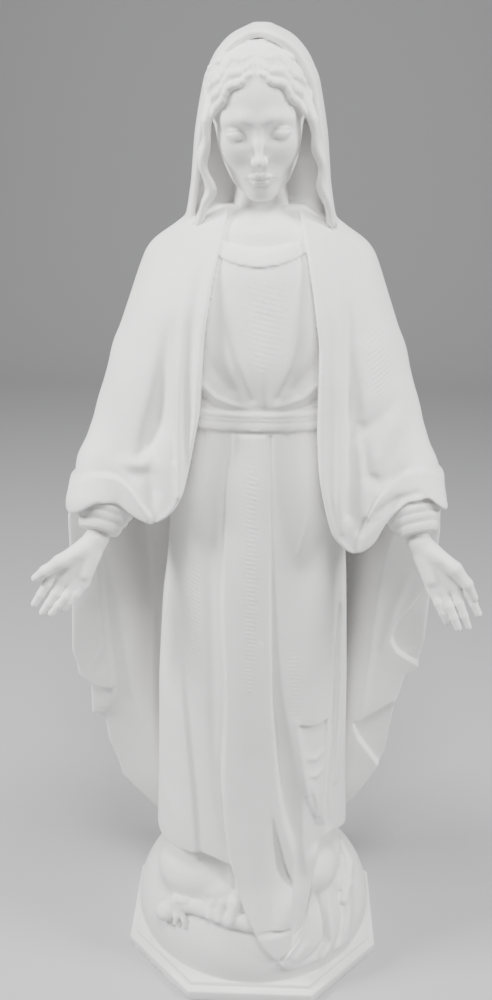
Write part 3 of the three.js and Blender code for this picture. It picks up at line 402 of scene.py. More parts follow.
# Toes: where each starts and ends, and its radius
TOES_LEFT = [
    [(-34, -128, 190, 14), (-30, -158, 182, 11.5), (-37, -176, 158, 10.5)],
    [(-52, -130, 188, 12), (-52, -156, 180, 9.5), (-58, -172, 157, 8.5)],
    [(-68, -128, 184, 11), (-68, -152, 176, 8.5), (-76, -166, 157, 7.5)],
    [(-80, -124, 178, 10), (-82, -144, 170, 8), (-89, -158, 157, 7)],
    [(-90, -116, 172, 9), (-94, -134, 164, 7.5), (-100, -148, 157, 6.5)],
]
STRAP_LEFT = [(-92, -134, 176, 8), (-71, -140, 190, 9), (-46, -140, 194, 9), (-24, -134, 194, 9)]
FOOT_RIGHT = [(136, -6, 214, 27), (140, -34, 204, 24), (146, -58, 190, 18)]
TOES_RIGHT = [
    [(136, -58, 194, 12), (126, -80, 188, 9.5), (122, -88, 182, 8.5)],
    [(145, -62, 190, 10), (138, -88, 178, 8), (135, -95, 172, 7)],
    [(154, -60, 184, 10), (150, -90, 169, 7.5), (148, -97, 163, 6.5)],
    [(162, -54, 180, 9), (161, -82, 166, 7), (160, -88, 160, 6.5)],
    [(168, -46, 178, 9), (170, -70, 164, 7), (170, -76, 158, 6)],
]
SERPENT = [
    (-140, -126, 148, 14), (-118, -136, 152, 14), (-93, -146, 157, 15), (-65, -158, 156, 15),
    (-38, -168, 153, 15), (-7, -172, 151, 15), (20, -174, 149, 15), (53, -170, 146, 13),
    (74, -160, 146, 9),
]
SERPENT_JAW = [(-136, -134, 146, 8), (-138, -146, 132, 6), (-141, -152, 120, 3.5)]
SERPENT_FORK = [(-130, -138, 146, 8), (-124, -152, 130, 5), (-122, -158, 118, 3.2)]
SERPENT_BROW = [(-134, -138, 162, 6), (-120, -142, 166, 5)]
APPLE_CENTRE, APPLE_RADIUS = (-160, -131, 131), 20.0
# The train that lies over the globe on the right: its edge, and strokes across, height, half width and rise
TRAIN_EDGE = [(215, 100), (180, 104), (151, 100), (128, 88), (101, 64), (81, 48), (70, 60), (50, 90)]
TRAIN_RISE, TRAIN_OUTER, TRAIN_LOW = 9.0, 196.0, 52.0
TRAIN_STROKES = [
    [(112, 190, 5, 4), (103, 152, 5, 5), (90, 127, 5, 5), (66, 100, 5, 5)],
    [(118, 182, 5, -5), (119, 160, 6, -8), (131, 128, 7, -10), (135, 100, 8, -10), (120, 83, 8, -9),
     (90, 72, 6, -4)],
    [(141, 165, 7, 6), (148, 131, 8, 8), (150, 100, 8, 8), (134, 74, 7, 5)],
    [(164, 150, 5, -6), (169, 117, 6, -8), (162, 87, 6, -7), (147, 62, 5, -4)],
    [(180, 152, 5, 5), (184, 120, 6, 4), (178, 90, 6, 2)],
    [(98, 108, 9, 4), (82, 92, 8, 4)],
]
HEM_RIGHT = [(166, -6, 190, 8), (184, -34, 166, 8), (180, -72, 156, 8), (171, -102, 140, 7)]


# Limbs farther than this from a sampled block are left out of it
FAR = 40.0


# Fields: distances in millimetres that are negative inside the stone, over arrays of points

def blend(a, b, k):
    """Both shapes, joined with a rounded crotch of size k."""
    t = np.clip(0.5 + 0.5 * (b - a) / k, 0, 1)
    return b + (a - b) * t - k * t * (1 - t)


def trim(a, b, k):
    """What lies inside both shapes, with its edge rounded by k."""
    return -blend(-a, -b, k)


def ease(t):
    t = np.clip(t, 0, 1)
    return t * t * (3 - 2 * t)


def bump(offset, width):
    return np.exp(-((offset / width) ** 2))


def mix(a, b, t):
    return a + (b - a) * t


class Table:
    """Reads rows by their first column, with the corners between rows smoothed."""

    def __init__(self, rows, smoothing=10.0):
        rows = np.array(sorted(rows), float)
        reach = 3 * smoothing
        self.key = np.arange(rows[0, 0] - reach, rows[-1, 0] + reach, 1.0)
        offsets = np.arange(-round(reach), round(reach) + 1)
        weights = np.exp(-0.5 * (offsets / smoothing) ** 2)
        weights /= weights.sum()
        self.columns = []
        for column in rows.T[1:]:
            values = np.interp(self.key, rows[:, 0], column)
            padded = np.pad(values, len(offsets) // 2, mode="edge")
            self.columns.append(np.convolve(padded, weights, "valid"))

    def __call__(self, key):
        found = [np.interp(key, self.key, column) for column in self.columns]
        return found[0] if len(found) == 1 else found


def oval(x, y, row):
    """An upright column whose oval section has its own front and back depth."""
    half, front, back, widest = row
    depth = np.where(y < widest, widest - front, back - widest)
    across = x / half
    along = (y - widest) / depth
    reach = np.sqrt(across ** 2 + along ** 2)
    slope = np.sqrt((across / half) ** 2 + (along / depth) ** 2) + 1e-9
    return reach * (reach - 1) / slope


def ellipsoid(x, y, z, centre, radii):
    px, py, pz = x - centre[0], y - centre[1], z - centre[2]
    reach = np.sqrt((px / radii[0]) ** 2 + (py / radii[1]) ** 2 + (pz / radii[2]) ** 2)
    slope = np.sqrt((px / radii[0] ** 2) ** 2 + (py / radii[1] ** 2) ** 2 + (pz / radii[2] ** 2) ** 2)
    return reach * (reach - 1) / (slope + 1e-9)


def room_around(axis, a, b, thick):
    """How far the sampled range of one axis stays clear of the span from a to b."""
    return max(min(a, b) - thick - axis.max(), axis.min() - max(a, b) - thick)


def limb(x, y, z, points, k=4.0):
    """A chain of round limbs through points that hold x, y, z and radius."""
    joined = None
    nearest = 900.0
    for (ax, ay, az, ar), (bx, by, bz, br) in zip(points, points[1:]):
        thick = max(ar, br)
        spans = ((x, ax, bx), (y, ay, by), (z, az, bz))
        clear = max(room_around(axis, a, b, thick) for axis, a, b in spans)
        if clear > FAR:
            nearest = min(nearest, clear)
            continue
        dx, dy, dz = bx - ax, by - ay, bz - az
        t = ((x - ax) * dx + (y - ay) * dy + (z - az) * dz) / (dx * dx + dy * dy + dz * dz)
        t = np.clip(t, 0, 1)
        reach = np.sqrt((x - ax - t * dx) ** 2 + (y - ay - t * dy) ** 2 + (z - az - t * dz) ** 2)
        reach = reach - (ar + (br - ar) * t)
        joined = reach if joined is None else blend(joined, reach, k)
    return np.float64(nearest) if joined is None else joined


def with_limbs(shape, x, y, z, chains, crotch, k):
    for points in chains:
        shape = blend(shape, limb(x, y, z, points, crotch), k)
    return shape


def stroke(x, z, points):
    """A relief stroke drawn on the front: points hold x, z, half width and height."""
    best = None
    for (ax, az, aw, ah), (bx, bz, bw, bh) in zip(points, points[1:]):
        dx, dz = bx - ax, bz - az
        t = np.clip(((x - ax) * dx + (z - az) * dz) / (dx * dx + dz * dz), 0, 1)
        off = np.hypot(x - ax - t * dx, z - az - t * dz)
        height = (ah + (bh - ah) * t) * bump(off, aw + (bw - aw) * t)
        best = height if best is None else np.where(np.abs(height) > np.abs(best), height, best)
    return best


def with_strokes(relief, x, z, strokes):
    for points in strokes:
        relief = relief + stroke(x, z, points)
    return relief


def groove(x, z, row):
    place, width, depth = row(z)
    return depth * bump(x - place, width)


# Gown

gown_row = Table(GOWN_ROWS, 14)
hem_at = Table(HEM, 5)
panel_edge = Table(PANEL_EDGE, 20)
band_edge = Table(BAND_EDGE, 20)
left_hollow = Table(LEFT_HOLLOW, 20)
sharp_fold = Table(SHARP_FOLD, 20)
hollow_fold = Table(HOLLOW_FOLD, 12)
knee_line = Table(KNEE_LINE, 6)
knee_left = Table(KNEE_LEFT, 10)
knee_right = Table(KNEE_RIGHT, 10)


def skirt_relief(x, z):
    panel_x, _, panel_rise = panel_edge(z)
    relief = panel_rise * ease((x - panel_x + 2) / 4) * ease((panel_x + PANEL_SPAN - x) / PANEL_FADE)
    relief = relief - 0.35 * panel_rise * bump(x - panel_x + 4, 4)
    band_x, _, band_rise = band_edge(z)
    relief = relief + band_rise * ease((band_x + 8 - x) / 16)
    relief = relief - groove(x, z, left_hollow)
    edge, run, depth = sharp_fold(z)
    relief = relief - depth * ease((x - edge + 2) / 4) * (1 - ease((x - edge) / run))
    edge, run, depth = hollow_fold(z)
    depth = depth * ease((z - HOLLOW_FOLD_END) / HOLLOW_FOLD_FADE)
    relief = relief - depth * ease((edge + 3 - x) / 6) * (1 - ease((edge - x) / run))
    knee = knee_line(x)
    under = ease((knee - z) / 8) * ease((z - knee + KNEE_LENGTH) / KNEE_LENGTH)
    relief = relief - KNEE_DEPTH * under * ease((x - knee_left(z)) / 6) * ease((knee_right(z) + 4 - x) / 8)
    return with_strokes(relief, x, z, SKIRT_STROKES)


def comb_marks(x, z, strokes, slant):
    depth = with_strokes(0, x, z, strokes)
    return depth * np.cos(2 * np.pi * (z + slant * x) / COMB_SPACING)


def gown_field(x, y, z):
    row = gown_row(z)
    relief = skirt_relief(x, z) * ease((BELT_LOW - z) / 6)
    relief = relief + with_strokes(0, x, z, BODICE_STROKES) * ease((z - BELT_HIGH) / 6)
    hung = z + BELT_SAG * x * x - 4
    belt = BELT_PROUD * ease((hung - BELT_LOW) / 2.5) * ease((BELT_HIGH - hung) / 2.5)
    for line in BELT_LINES:
        belt = belt - BELT_LINE_DEPTH * bump(hung - line, BELT_LINE_WIDTH)
    relief = relief + belt + comb_marks(x, z, COMB_STROKES, COMB_SLANT)
    low = COLLAR_LOW + COLLAR_RISE * x * x
    high = COLLAR_HIGH + COLLAR_RISE * x * x
    relief = relief + COLLAR_PROUD * ease((z - low) / 2.5) * ease((high - z) / 4)
    column = oval(x, y, row) - np.where(y < row[3], relief, 0)
    skirt = trim(column, hem_at(x) - z, 7)
    skirt = trim(skirt, z - high - 1, 2.5)
    inner = np.maximum(column + INNER_SKIRT, z - BELT_LOW)
    return blend(skirt, inner, 3)


# Cloak over the shoulders and arms

cloak_row = Table(CLOAK_ROWS, 12)
lapel_left = Table(LAPEL_LEFT, 7)
lapel_right = Table(LAPEL_RIGHT, 7)
cuff_left = Table(CUFF_LEFT, 5)
cuff_right = Table(CUFF_RIGHT, 5)
rim_left = Table(RIM_LEFT, 5)
rim_right = Table(RIM_RIGHT, 5)


def arm(side):
    return [(side * across, y, z, radius) for across, y, z, radius in ARM]


def cloak_relief(x, z):
    relief = with_strokes(0, x, z, SLEEVE_STROKES)
    left, right = lapel_left(z), lapel_right(z)
    within = np.minimum(left - x, 900) * (x < 0) + np.minimum(x - right, 900) * (x >= 0)
    relief = relief + LAPEL_ROLL * bump(within - 5, 5) + comb_marks(x, z, [COMB_SLEEVE], -2 * COMB_SLANT)
    cuff = np.where(x < 0, cuff_left(x), cuff_right(x))
    return relief + CUFF_RISE * ease((cuff - z) / 6) * ease((np.abs(x) - CUFF_START) / CUFF_START_FADE)


def cloak_field(x, y, z):
    row = cloak_row(z)
    slot = np.maximum(lapel_left(z) - x, x - lapel_right(z))
    rim = np.where(x < 0, rim_left(x), rim_right(x))
    arms = np.minimum(limb(x, y, z, arm(-1), 12), limb(x, y, z, arm(1), 12))
    draped = blend(oval(x, y, row), arms, 14) - cloak_relief(x, z) * ease((row[3] + 12 - y) / 24)
    opened = trim(draped, -np.maximum(slot, y - OPENING_BACK), 5)
    sleeve_hollow = np.maximum(draped + SLEEVE_WALL, z - rim - SLEEVE_DEPTH)
    sleeve_hollow = np.maximum(sleeve_hollow, y - SLEEVE_HOLLOW_BACK)
    opened = trim(opened, -sleeve_hollow, 4)
    return trim(opened, np.maximum(rim - z, z - SHOULDER_TOP), 9)


# Cloak hanging behind the skirt

curtain_left = Table(CURTAIN_LEFT, 3)
curtain_right = Table(CURTAIN_RIGHT, 3)
curtain_side = Table(CURTAIN_SIDE, 16)
curtain_edge = Table(CURTAIN_EDGE, 16)
curtain_fold_left = Table(CURTAIN_FOLD_LEFT, 16)
curtain_fold_right = Table(CURTAIN_FOLD_RIGHT, 16)
flap_hem = Table(FLAP_HEM, 3)
flap_lower_hem = Table(FLAP_LOWER_HEM, 3)
flap_crease = Table(FLAP_CREASE, 10)
turn_upper = Table(TURN_UPPER, 4)
turn_lower = Table(TURN_LOWER, 4)


def curtain_relief(x, z):
    """How far the cloth stands out, and how far a layer lies behind the front one."""
    relief = with_strokes(0, x, z, CURTAIN_STROKES)
    outer = ease((flap_crease(z) - x) / 9)
    relief = relief + FLAP_RISE * outer * ease((z - flap_hem(x)) / 4) * (x < 0)
    relief = relief + FLAP_LOWER_RISE * outer * ease((z - flap_lower_hem(x)) / 4) * (x < 0)
    upper = ease((x - turn_upper(z)) / 5) * ease((z - TURN_UPPER_LOW) / 8) * ease((TURN_UPPER_HIGH - z) / 60)
    lower = ease((x - turn_lower(z)) / 5) * ease((z - TURN_LOWER_LOW) / 30) * ease((TURN_LOWER_HIGH - z) / 30)
    return relief, TURN_DEPTH * np.maximum(upper, lower)


def curtain_field(x, y, z):
    out = np.abs(x)
    half = np.where(x < 0, curtain_left(z), curtain_right(z))
    fold = np.where(x < 0, curtain_fold_left(z), curtain_fold_right(z))
    side, edge = curtain_side(z), curtain_edge(z)
    relief, behind = curtain_relief(x, z)
    valley = np.maximum(0, CURTAIN_VALLEY - edge) * ease((fold - out) / CURTAIN_FOLD_WIDTH)
    front = edge + valley - relief + behind
    deep = mix(BACK_BOTTOM, BACK_TOP, np.clip((z - BACK_LOW) / BACK_TALL, 0, 1))
    start = edge + CURTAIN_THICKNESS + behind
    sway = BACK_SWAY * np.sin(z / BACK_SWAY_LENGTH) + BACK_SPREAD * (BACK_SPREAD_TOP - z) * x
    folds = np.cos(2 * np.pi * (x + sway) / BACK_FOLD_SPACING)
    folds = BACK_FOLD_DEPTH * (folds - 0.25 * folds ** 2) * ease((BACK_FOLD_TOP - z) / BACK_FOLD_FADE)
    back = start + (deep + folds - start) * np.sqrt(np.maximum(1 - np.minimum(1, out / side) ** 2, 0))
    sheet = trim(trim(front - y, y - back, 5) * 0.85, out - half, 5)
    return trim(sheet, z - CURTAIN_TOP, 60)


# Veil, hollow around the face

veil_row = Table(VEIL_ROWS, 5)
veil_edge = Table(VEIL_EDGE, 10)


def veil_field(x, y, z):
    row = veil_row(z)
    half, front, back, widest = veil_row(z + VEIL_THICKNESS)
    inner = (np.maximum(half - VEIL_THICKNESS, 3), np.minimum(front + 4, widest - 3), back, widest)
    hollow_back = mix(HOLLOW_BACK, HOLLOW_CROWN_BACK, ease((z - HOLLOW_CROWN_FROM) / HOLLOW_CROWN_FADE))
    relief = with_strokes(0, x, z, VEIL_STROKES)
    peak = VEIL_PEAK * bump(x - VEIL_PEAK_PLACE, VEIL_PEAK_WIDTH)
    edge = veil_edge(z) + peak * ease((z - VEIL_PEAK_FROM) / VEIL_PEAK_FADE)
    shell = trim(trim(oval(x, y, row) - relief, edge - y, 5), VEIL_LOW - z, 4)
    hollow = np.maximum(oval(x, y, inner), np.maximum(y - hollow_back, HOLLOW_LOW - z))
    hollow = np.maximum(hollow, z - CROWN + VEIL_THICKNESS)
    return trim(np.maximum(shell, z - CROWN), -hollow, 4)


def cloth_field(x, y, z):
    hanging = blend(cloak_field(x, y, z), curtain_field(x, y, z), 12)
    hanging = blend(hanging, veil_field(x, y, z), 8)
    figure = np.minimum(gown_field(x, y, z), hanging)
    return np.maximum(figure, GLOBE_CENTRE[2] - 20 - z)


# Head, in its own frame: right, forward and up, for a head 205 mm high from chin to crown

def head_axes():
    bow = np.array([
        [1, 0, 0], [0, math.cos(HEAD_BOW), -math.sin(HEAD_BOW)], [0, math.sin(HEAD_BOW), math.cos(HEAD_BOW)],
    ])
    roll = np.array([
        [math.cos(HEAD_ROLL), 0, -math.sin(HEAD_ROLL)], [0, 1, 0],
        [math.sin(HEAD_ROLL), 0, math.cos(HEAD_ROLL)],
    ])
    return roll @ bow


HEAD_AXES = head_axes()


def to_head(x, y, z):
    px, py, pz = x - HEAD_CENTRE[0], y - HEAD_CENTRE[1], z - HEAD_CENTRE[2]
    local = [px * HEAD_AXES[0, i] + py * HEAD_AXES[1, i] + pz * HEAD_AXES[2, i] for i in range(3)]
    return local[0] / HEAD_SIZE, -local[1] / HEAD_SIZE, local[2] / HEAD_SIZE


def nose_field(x, f, u):
    side = np.abs(x)
    nose = limb(x, f, u, NOSE_RIDGE, 8)
    nose = blend(nose, ellipsoid(x, f, u, *NOSE_TIP), 5)
    nose = blend(nose, ellipsoid(side, f, u, *NOSE_WING), 3.5)
    return trim(nose, -ellipsoid(side, f, u, *NOSTRIL), 2)


def face_field(x, f, u):
    side = np.abs(x)
    head = blend(ellipsoid(x, f, u, *SKULL), ellipsoid(x, f, u, *JAW), 30)
    head = blend(head, ellipsoid(side, f, u, *CHEEK), 22)
    head = blend(head, limb(side, f, u, JAW_LINE, 12), 18)
    head = blend(head, limb(side, f, u, BROW, 8), 16)
    head = trim(head, -ellipsoid(side, f, u, *SOCKET), 14)
    head = blend(head, eye_field(side, f, u), 1.6)
    head = blend(head, nose_field(x, f, u), 6)
    head = blend(head, ellipsoid(x, f, u, *MOUTH_MOUND), 14)
    head = trim(head, -limb(x, f, u, LIP_GROOVE), 3)
    head = blend(head, limb(side, f, u, UPPER_LIP, 3), 2)
    head = blend(head, limb(side, f, u, LOWER_LIP, 3), 2)
    head = trim(head, -limb(side, f, u, LIP_LINE), 1.6)
    head = trim(head, -ellipsoid(x, f, u, *CHIN_HOLLOW), 6)
    return blend(head, ellipsoid(x, f, u, *CHIN), 14)


def eye_field(side, f, u):
    """A lowered lid over the ball of the eye, with the lower lid under the lash line."""
    across = side - EYE_CENTRE[0]
    lash = EYE_LASH + 0.014 * across ** 2
    lid = np.maximum(ellipsoid(side, f, u, EYE_CENTRE, EYE_LID), lash - u)
    lid = lid + 1.2 * bump(u - EYE_CREASE + 0.016 * across ** 2, 1.4) + 1.4 * bump(u - lash, 0.9)
    ball = ellipsoid(side, f, u, EYE_CENTRE, EYE_BALL)
    lower = np.maximum(ellipsoid(side, f, u, EYE_CENTRE, EYE_LOWER_LID), u - lash + 2.2)
    return blend(np.minimum(lid, lower), ball, 0.6)


def from_head(right, f, u):
    """A point of the head's own frame in the frame of the statue."""
    local = np.array([right, -f, u]) * HEAD_SIZE
    return tuple(float(value) for value in HEAD_AXES @ local + np.array(HEAD_CENTRE))


def hair_strands():
    """Wavy strands swept from the parting to the temples, that fall from there as thin locks."""
    (_, cap_f, cap_u), (cap_half, cap_deep, cap_tall) = HAIR_CAP
    strands = []
    for side, rows in ((-1, HAIR_LEFT), (1, HAIR_RIGHT)):
        middle = Table(rows, 5)
        top, bottom = rows[0][0], rows[-1][0]
        for outside, thick, shift, back, phase in HAIR_STRANDS:
            strand = []
            for angle in np.linspace(0.09, TEMPLE_ANGLE, 10):
                swell = outside + ROLL_WAVE * math.sin(ROLL_WAVES * angle + phase)
                right = FACE_HALF * swell * math.sin(angle)
                u = FACE_LOW + FACE_TALL * swell * math.cos(angle)
                inside = 1 - (right / cap_half) ** 2 - ((u - cap_u) / cap_tall) ** 2
                f = cap_f + cap_deep * math.sqrt(max(inside, 0.02))
                strand.append((*from_head(side * right, f, u), thick * min(1, 0.5 + angle)))
            for z in np.arange(top, bottom, -HAIR_FALL_STEP):
                x, y = (float(value) for value in middle(z))
                swing = HAIR_WAVE * math.sin(2 * math.pi * (top - z) / HAIR_WAVE_LENGTH + phase)
                spread = mix(0.7, 1.0, (top - z) / (top - bottom))
                radius = thick * mix(LOCK_TOP_SIZE, LOCK_END_SIZE, (top - z) / LOCK_TAPER)
                strand.append((x + side * (shift * spread + swing), y + back, z, radius))
            strands.append(strand)
    return strands


HAIR = hair_strands()


def hair_field(x, y, z, right, f, u):
    cap = ellipsoid(right, f, u, HAIR_CAP[0], HAIR_CAP[1])
    ring = np.sqrt((right / FACE_HALF) ** 2 + ((u - FACE_LOW) / FACE_TALL) ** 2)
    flow = (ring - 1) * FACE_HALF / CAP_STRAND_SPACING + 0.3 * np.sin(np.abs(right) / 6.5)
    cap = cap - CAP_STRAND_DEPTH * np.cos(2 * np.pi * flow) * ease(np.abs(right) / 12) * ease((f + 5) / 30)
    cap = cap + PARTING_DEPTH * bump(right, PARTING_WIDTH) * (f > 0)
    window = np.maximum((ring - 1) * FACE_HALF, -f)
    hair = trim(trim(cap, -window, 5), HAIR_CAP_LOW - u, 10)
    locks = None
    for strand in HAIR:
        one = limb(x, y, z, strand, 3)
        locks = one if locks is None else blend(locks, one, 1.2)
    return blend(hair, locks / HEAD_SIZE, 2.5)


def head_field(x, y, z):
    right, f, u = to_head(x, y, z)
    face = face_field(right, f, u) * HEAD_SIZE
    neck = blend(limb(x, y, z, NECK, 12), limb(x, y, z, CHEST, 12), 24)
    bare = blend(face, neck, 14)
    return blend(bare, hair_field(x, y, z, right, f, u) * HEAD_SIZE, 2)


# Hands with their tight undersleeves

def hand_field(side):
    shape = HANDS[side]
    rays = [[(*shape["wrist"], PALM_WRIST), (*knuckle, PALM_KNUCKLE)] for knuckle in shape["knuckles"]]
    fingers = []
    for knuckle, tip in zip(shape["knuckles"], shape["tips"]):
        knuckle, tip = np.array(knuckle, float), np.array(tip, float)
        joints = []
        for part, bend in ((0, 0), (0.36, 1), (0.68, 0.8), (1, 0)):
            point = mix(knuckle, tip, part)
            point[1] -= FINGER_CURL * bend
            joints.append((*point, mix(FINGER_ROOT, FINGER_TIP, part)))
        fingers.append(joints)

    def field(x, y, z):
        palm = with_limbs(limb(x, y, z, shape["thumb"], 5), x, y, z, rays, 4, 8)
        palm = with_limbs(palm, x, y, z, shape["pads"], 4, 7)
        for hollow in shape["hollows"]:
            palm = trim(palm, -limb(x, y, z, hollow, 3), 6)
        digits = None
        for finger in fingers:
            one = limb(x, y, z, finger, 2.5)
            digits = one if digits is None else np.minimum(digits, one)
        bare = blend(palm, digits, 3)
        sleeve = limb(x, y, z, shape["sleeve"], 8)
        axis = np.array(shape["sleeve"][-1][:3]) - np.array(shape["sleeve"][0][:3])
        length = np.linalg.norm(axis)
        axis = axis / length
        first = shape["sleeve"][0]
        along = (x - first[0]) * axis[0] + (y - first[1]) * axis[1] + (z - first[2]) * axis[2]
        for ring in CUFF_RINGS:
            place = along - length + ring
            sleeve = sleeve - CUFF_RING_RISE * bump(place, CUFF_RING_WIDTH)
            sleeve = sleeve + CUFF_LINE_DEPTH * bump(place + CUFF_LINE_SHIFT, CUFF_LINE_WIDTH)
        sleeve = trim(sleeve, along - length - 2, 2.5)
        return blend(bare, sleeve, 1.2)

    return field


# Base: feet on the serpent, the apple, the train of the gown and the globe on its plinth

def octagon(x, y, inset):
    half, deep = PLINTH_WIDTH / 2 - inset, PLINTH_DEPTH / 2 - inset
    cut = PLINTH_CORNER - inset * (2 - math.sqrt(2))
    corner = (np.abs(x) + np.abs(y) - (half + deep - cut)) / math.sqrt(2)
    return np.maximum(np.maximum(np.abs(x) - half, np.abs(y) - deep), corner)


train_edge = Table(TRAIN_EDGE, 5)


def globe_relief(x, z):
    """The train of the gown, laid over the globe on the right."""
    relief = TRAIN_RISE * ease((x - train_edge(z)) / 6) * ease((TRAIN_OUTER - x) / 16)
    relief = relief * ease((z - TRAIN_LOW) / 22)
    return with_strokes(relief, x, z, TRAIN_STROKES)


def base_field(x, y, z):
    lower = trim(octagon(x, y, 0.0), z - TIER_HEIGHT, TIER_EDGE)
    upper = trim(octagon(x, y, STEP_IN), z - TIER_HEIGHT - STEP_HEIGHT, TIER_EDGE)
    plinth = np.maximum(np.minimum(lower, upper), -z)
    globe = ellipsoid(x, y, z, GLOBE_CENTRE, GLOBE_RADII) - globe_relief(x, z) * ease((10 - y) / 30)
    globe = blend(globe, limb(x, y, z, HEM_RIGHT, 8), 6)
    for centre, radii in SWELLS:
        globe = blend(globe, ellipsoid(x, y, z, centre, radii), 30)
    left = with_limbs(limb(x, y, z, FOOT_LEFT, 10), x, y, z, TOES_LEFT, 4, 2.5)
    right = with_limbs(limb(x, y, z, FOOT_RIGHT, 10), x, y, z, TOES_RIGHT, 4, 2.5)
    left = blend(left, limb(x, y, z, STRAP_LEFT, 6), 2)
    globe = blend(globe, blend(left, right, 2), 8)
    serpent = with_limbs(limb(x, y, z, SERPENT, 6), x, y, z, (SERPENT_JAW, SERPENT_FORK), 3, 3)
    serpent = blend(serpent, limb(x, y, z, SERPENT_BROW, 3), 4)
    ax, ay, az = APPLE_CENTRE
    apple = np.sqrt((x - ax) ** 2 + (y - ay) ** 2 + (z - az) ** 2) - APPLE_RADIUS
    apple = apple + 3 * bump(np.sqrt((x - ax + 4) ** 2 + (z - az - 12) ** 2), 4) * (y < ay)
    ground = np.maximum(blend(globe, blend(serpent, apple, 3), 2.5), TIER_HEIGHT - z)
    return np.minimum(blend(ground, plinth, 3), 900)


# From fields to meshes

BLOCK = 16
COARSE = 8
# Field values are kept up to this many steps from the surface
BAND = 1.5


def sample(field, low, high, step):
    """Samples a field on a grid, finely only in the blocks that the surface may cross."""
    counts = [BLOCK * math.ceil((b - a) / step / BLOCK) for a, b in zip(low, high)]
    axes = [low[i] + step * np.arange(counts[i]) for i in range(3)]
    rough_axes = [low[i] + step * COARSE * np.arange(counts[i] // COARSE + 1) for i in range(3)]
    rough = field(rough_axes[0][:, None, None], rough_axes[1][None, :, None], rough_axes[2][None, None, :])
    rough = np.broadcast_to(rough, [len(axis) for axis in rough_axes])
    values = np.full(counts, 1.0, np.float32)
    near = step * COARSE * 1.35 + 4
    ratio = BLOCK // COARSE
    for i in range(counts[0] // BLOCK):
        for k in range(counts[2] // BLOCK):
            across = slice(i * BLOCK, (i + 1) * BLOCK)
            upward = slice(k * BLOCK, (k + 1) * BLOCK)
            crossed = []
            for j in range(counts[1] // BLOCK):
                corner = rough[tuple(slice(n * ratio, (n + 1) * ratio + 1) for n in (i, j, k))]
                if corner.min() > near:
                    continue
                if corner.max() < -near:
                    values[across, j * BLOCK:(j + 1) * BLOCK, upward] = -1.0
                    continue
                crossed.extend(range(j * BLOCK, (j + 1) * BLOCK))
            if crossed:
                found = field(axes[0][across][:, None, None], axes[1][crossed][None, :, None],
                              axes[2][upward][None, None, :])
                values[across, crossed, upward] = np.clip(found / step, -BAND, BAND)
    for axis in range(3):
        ends = [slice(None)] * 3
        for end in (0, -1):
            ends[axis] = end
            values[tuple(ends)] = 1.0
    return values


def skin(field, low, high, step):
    """The closed surface of a field, in metres."""
    grid = openvdb.FloatGrid(BAND)
    grid.copyFromArray(sample(field, low, high, step))
    points, triangles, quads = grid.convertToPolygons(0.0, 0.0)
    points = (points.astype(float) * step + np.array(low)) * MM
    return points, triangles, quads


def mesh_object(name, points, triangles, quads):
    """Builds the mesh with its quads split in two and its faces turned outward."""
    corners = np.vstack([triangles, quads[:, [0, 1, 2]], quads[:, [0, 2, 3]]]).astype(np.int32)
    a, b, c = (points[corners[:, i]] for i in range(3))
    if np.sum(a * np.cross(b, c)) < 0:
        corners = corners[:, ::-1]
    mesh = bpy.data.meshes.new(name)
    mesh.vertices.add(len(points))
    mesh.vertices.foreach_set("co", points.ravel())
    mesh.loops.add(corners.size)
    mesh.loops.foreach_set("vertex_index", corners.ravel())
    mesh.polygons.add(len(corners))
    mesh.polygons.foreach_set("loop_start", np.arange(0, corners.size, 3))
    mesh.update(calc_edges=True)
    piece = bpy.data.objects.new(name, mesh)
    bpy.context.scene.collection.objects.link(piece)
    return piece


def select_only(piece):
    bpy.ops.object.select_all(action="DESELECT")
    piece.select_set(True)
    bpy.context.view_layer.objects.active = piece


def thin(piece, triangles):
    select_only(piece)
    modifier = piece.modifiers.new("thin", "DECIMATE")
    modifier.ratio = min(1.0, triangles / len(piece.data.polygons))
    bpy.ops.object.modifier_apply(modifier=modifier.name)


def carve_part(name, field, box, step, triangles):
    piece = mesh_object(name, *skin(field, *box, step))
    thin(piece, triangles)
    return piece


def join_parts(parts):
    """One closed body of stone from the overlapping parts."""
    whole = parts[0]
    select_only(whole)
    for part in parts[1:]:
        modifier = whole.modifiers.new("join", "BOOLEAN")
        modifier.operation = "UNION"
        modifier.solver = "MANIFOLD"
        modifier.object = part
        bpy.ops.object.modifier_apply(modifier=modifier.name)
        bpy.data.objects.remove(part)
    return whole


# White marble with faint clouding and a fine honed grain

MARBLE_ROUGHNESS = 0.62
MARBLE_GLOW, MARBLE_GLOW_REACH, MARBLE_GLOW_SCALE = 0.05, (0.012, 0.010, 0.008), 0.5
CLOUD_SCALE, CLOUD_DETAIL, CLOUD_DISTORTION = 5.0, 6.0, 0.8
# Each tint of the clouding: where it starts in the noise, and its colour
CLOUD_TINTS = ((0.3, (0.80, 0.795, 0.78, 1)), (0.65, (0.88, 0.875, 0.86, 1)))
GRAIN_SCALE, GRAIN_DETAIL = 420.0, 3.0
GRAIN_STRENGTH, GRAIN_HEIGHT = 0.15, 0.0006
# Faces that meet at less than this are shaded as one surface
SMOOTH_ANGLE = math.radians(50)


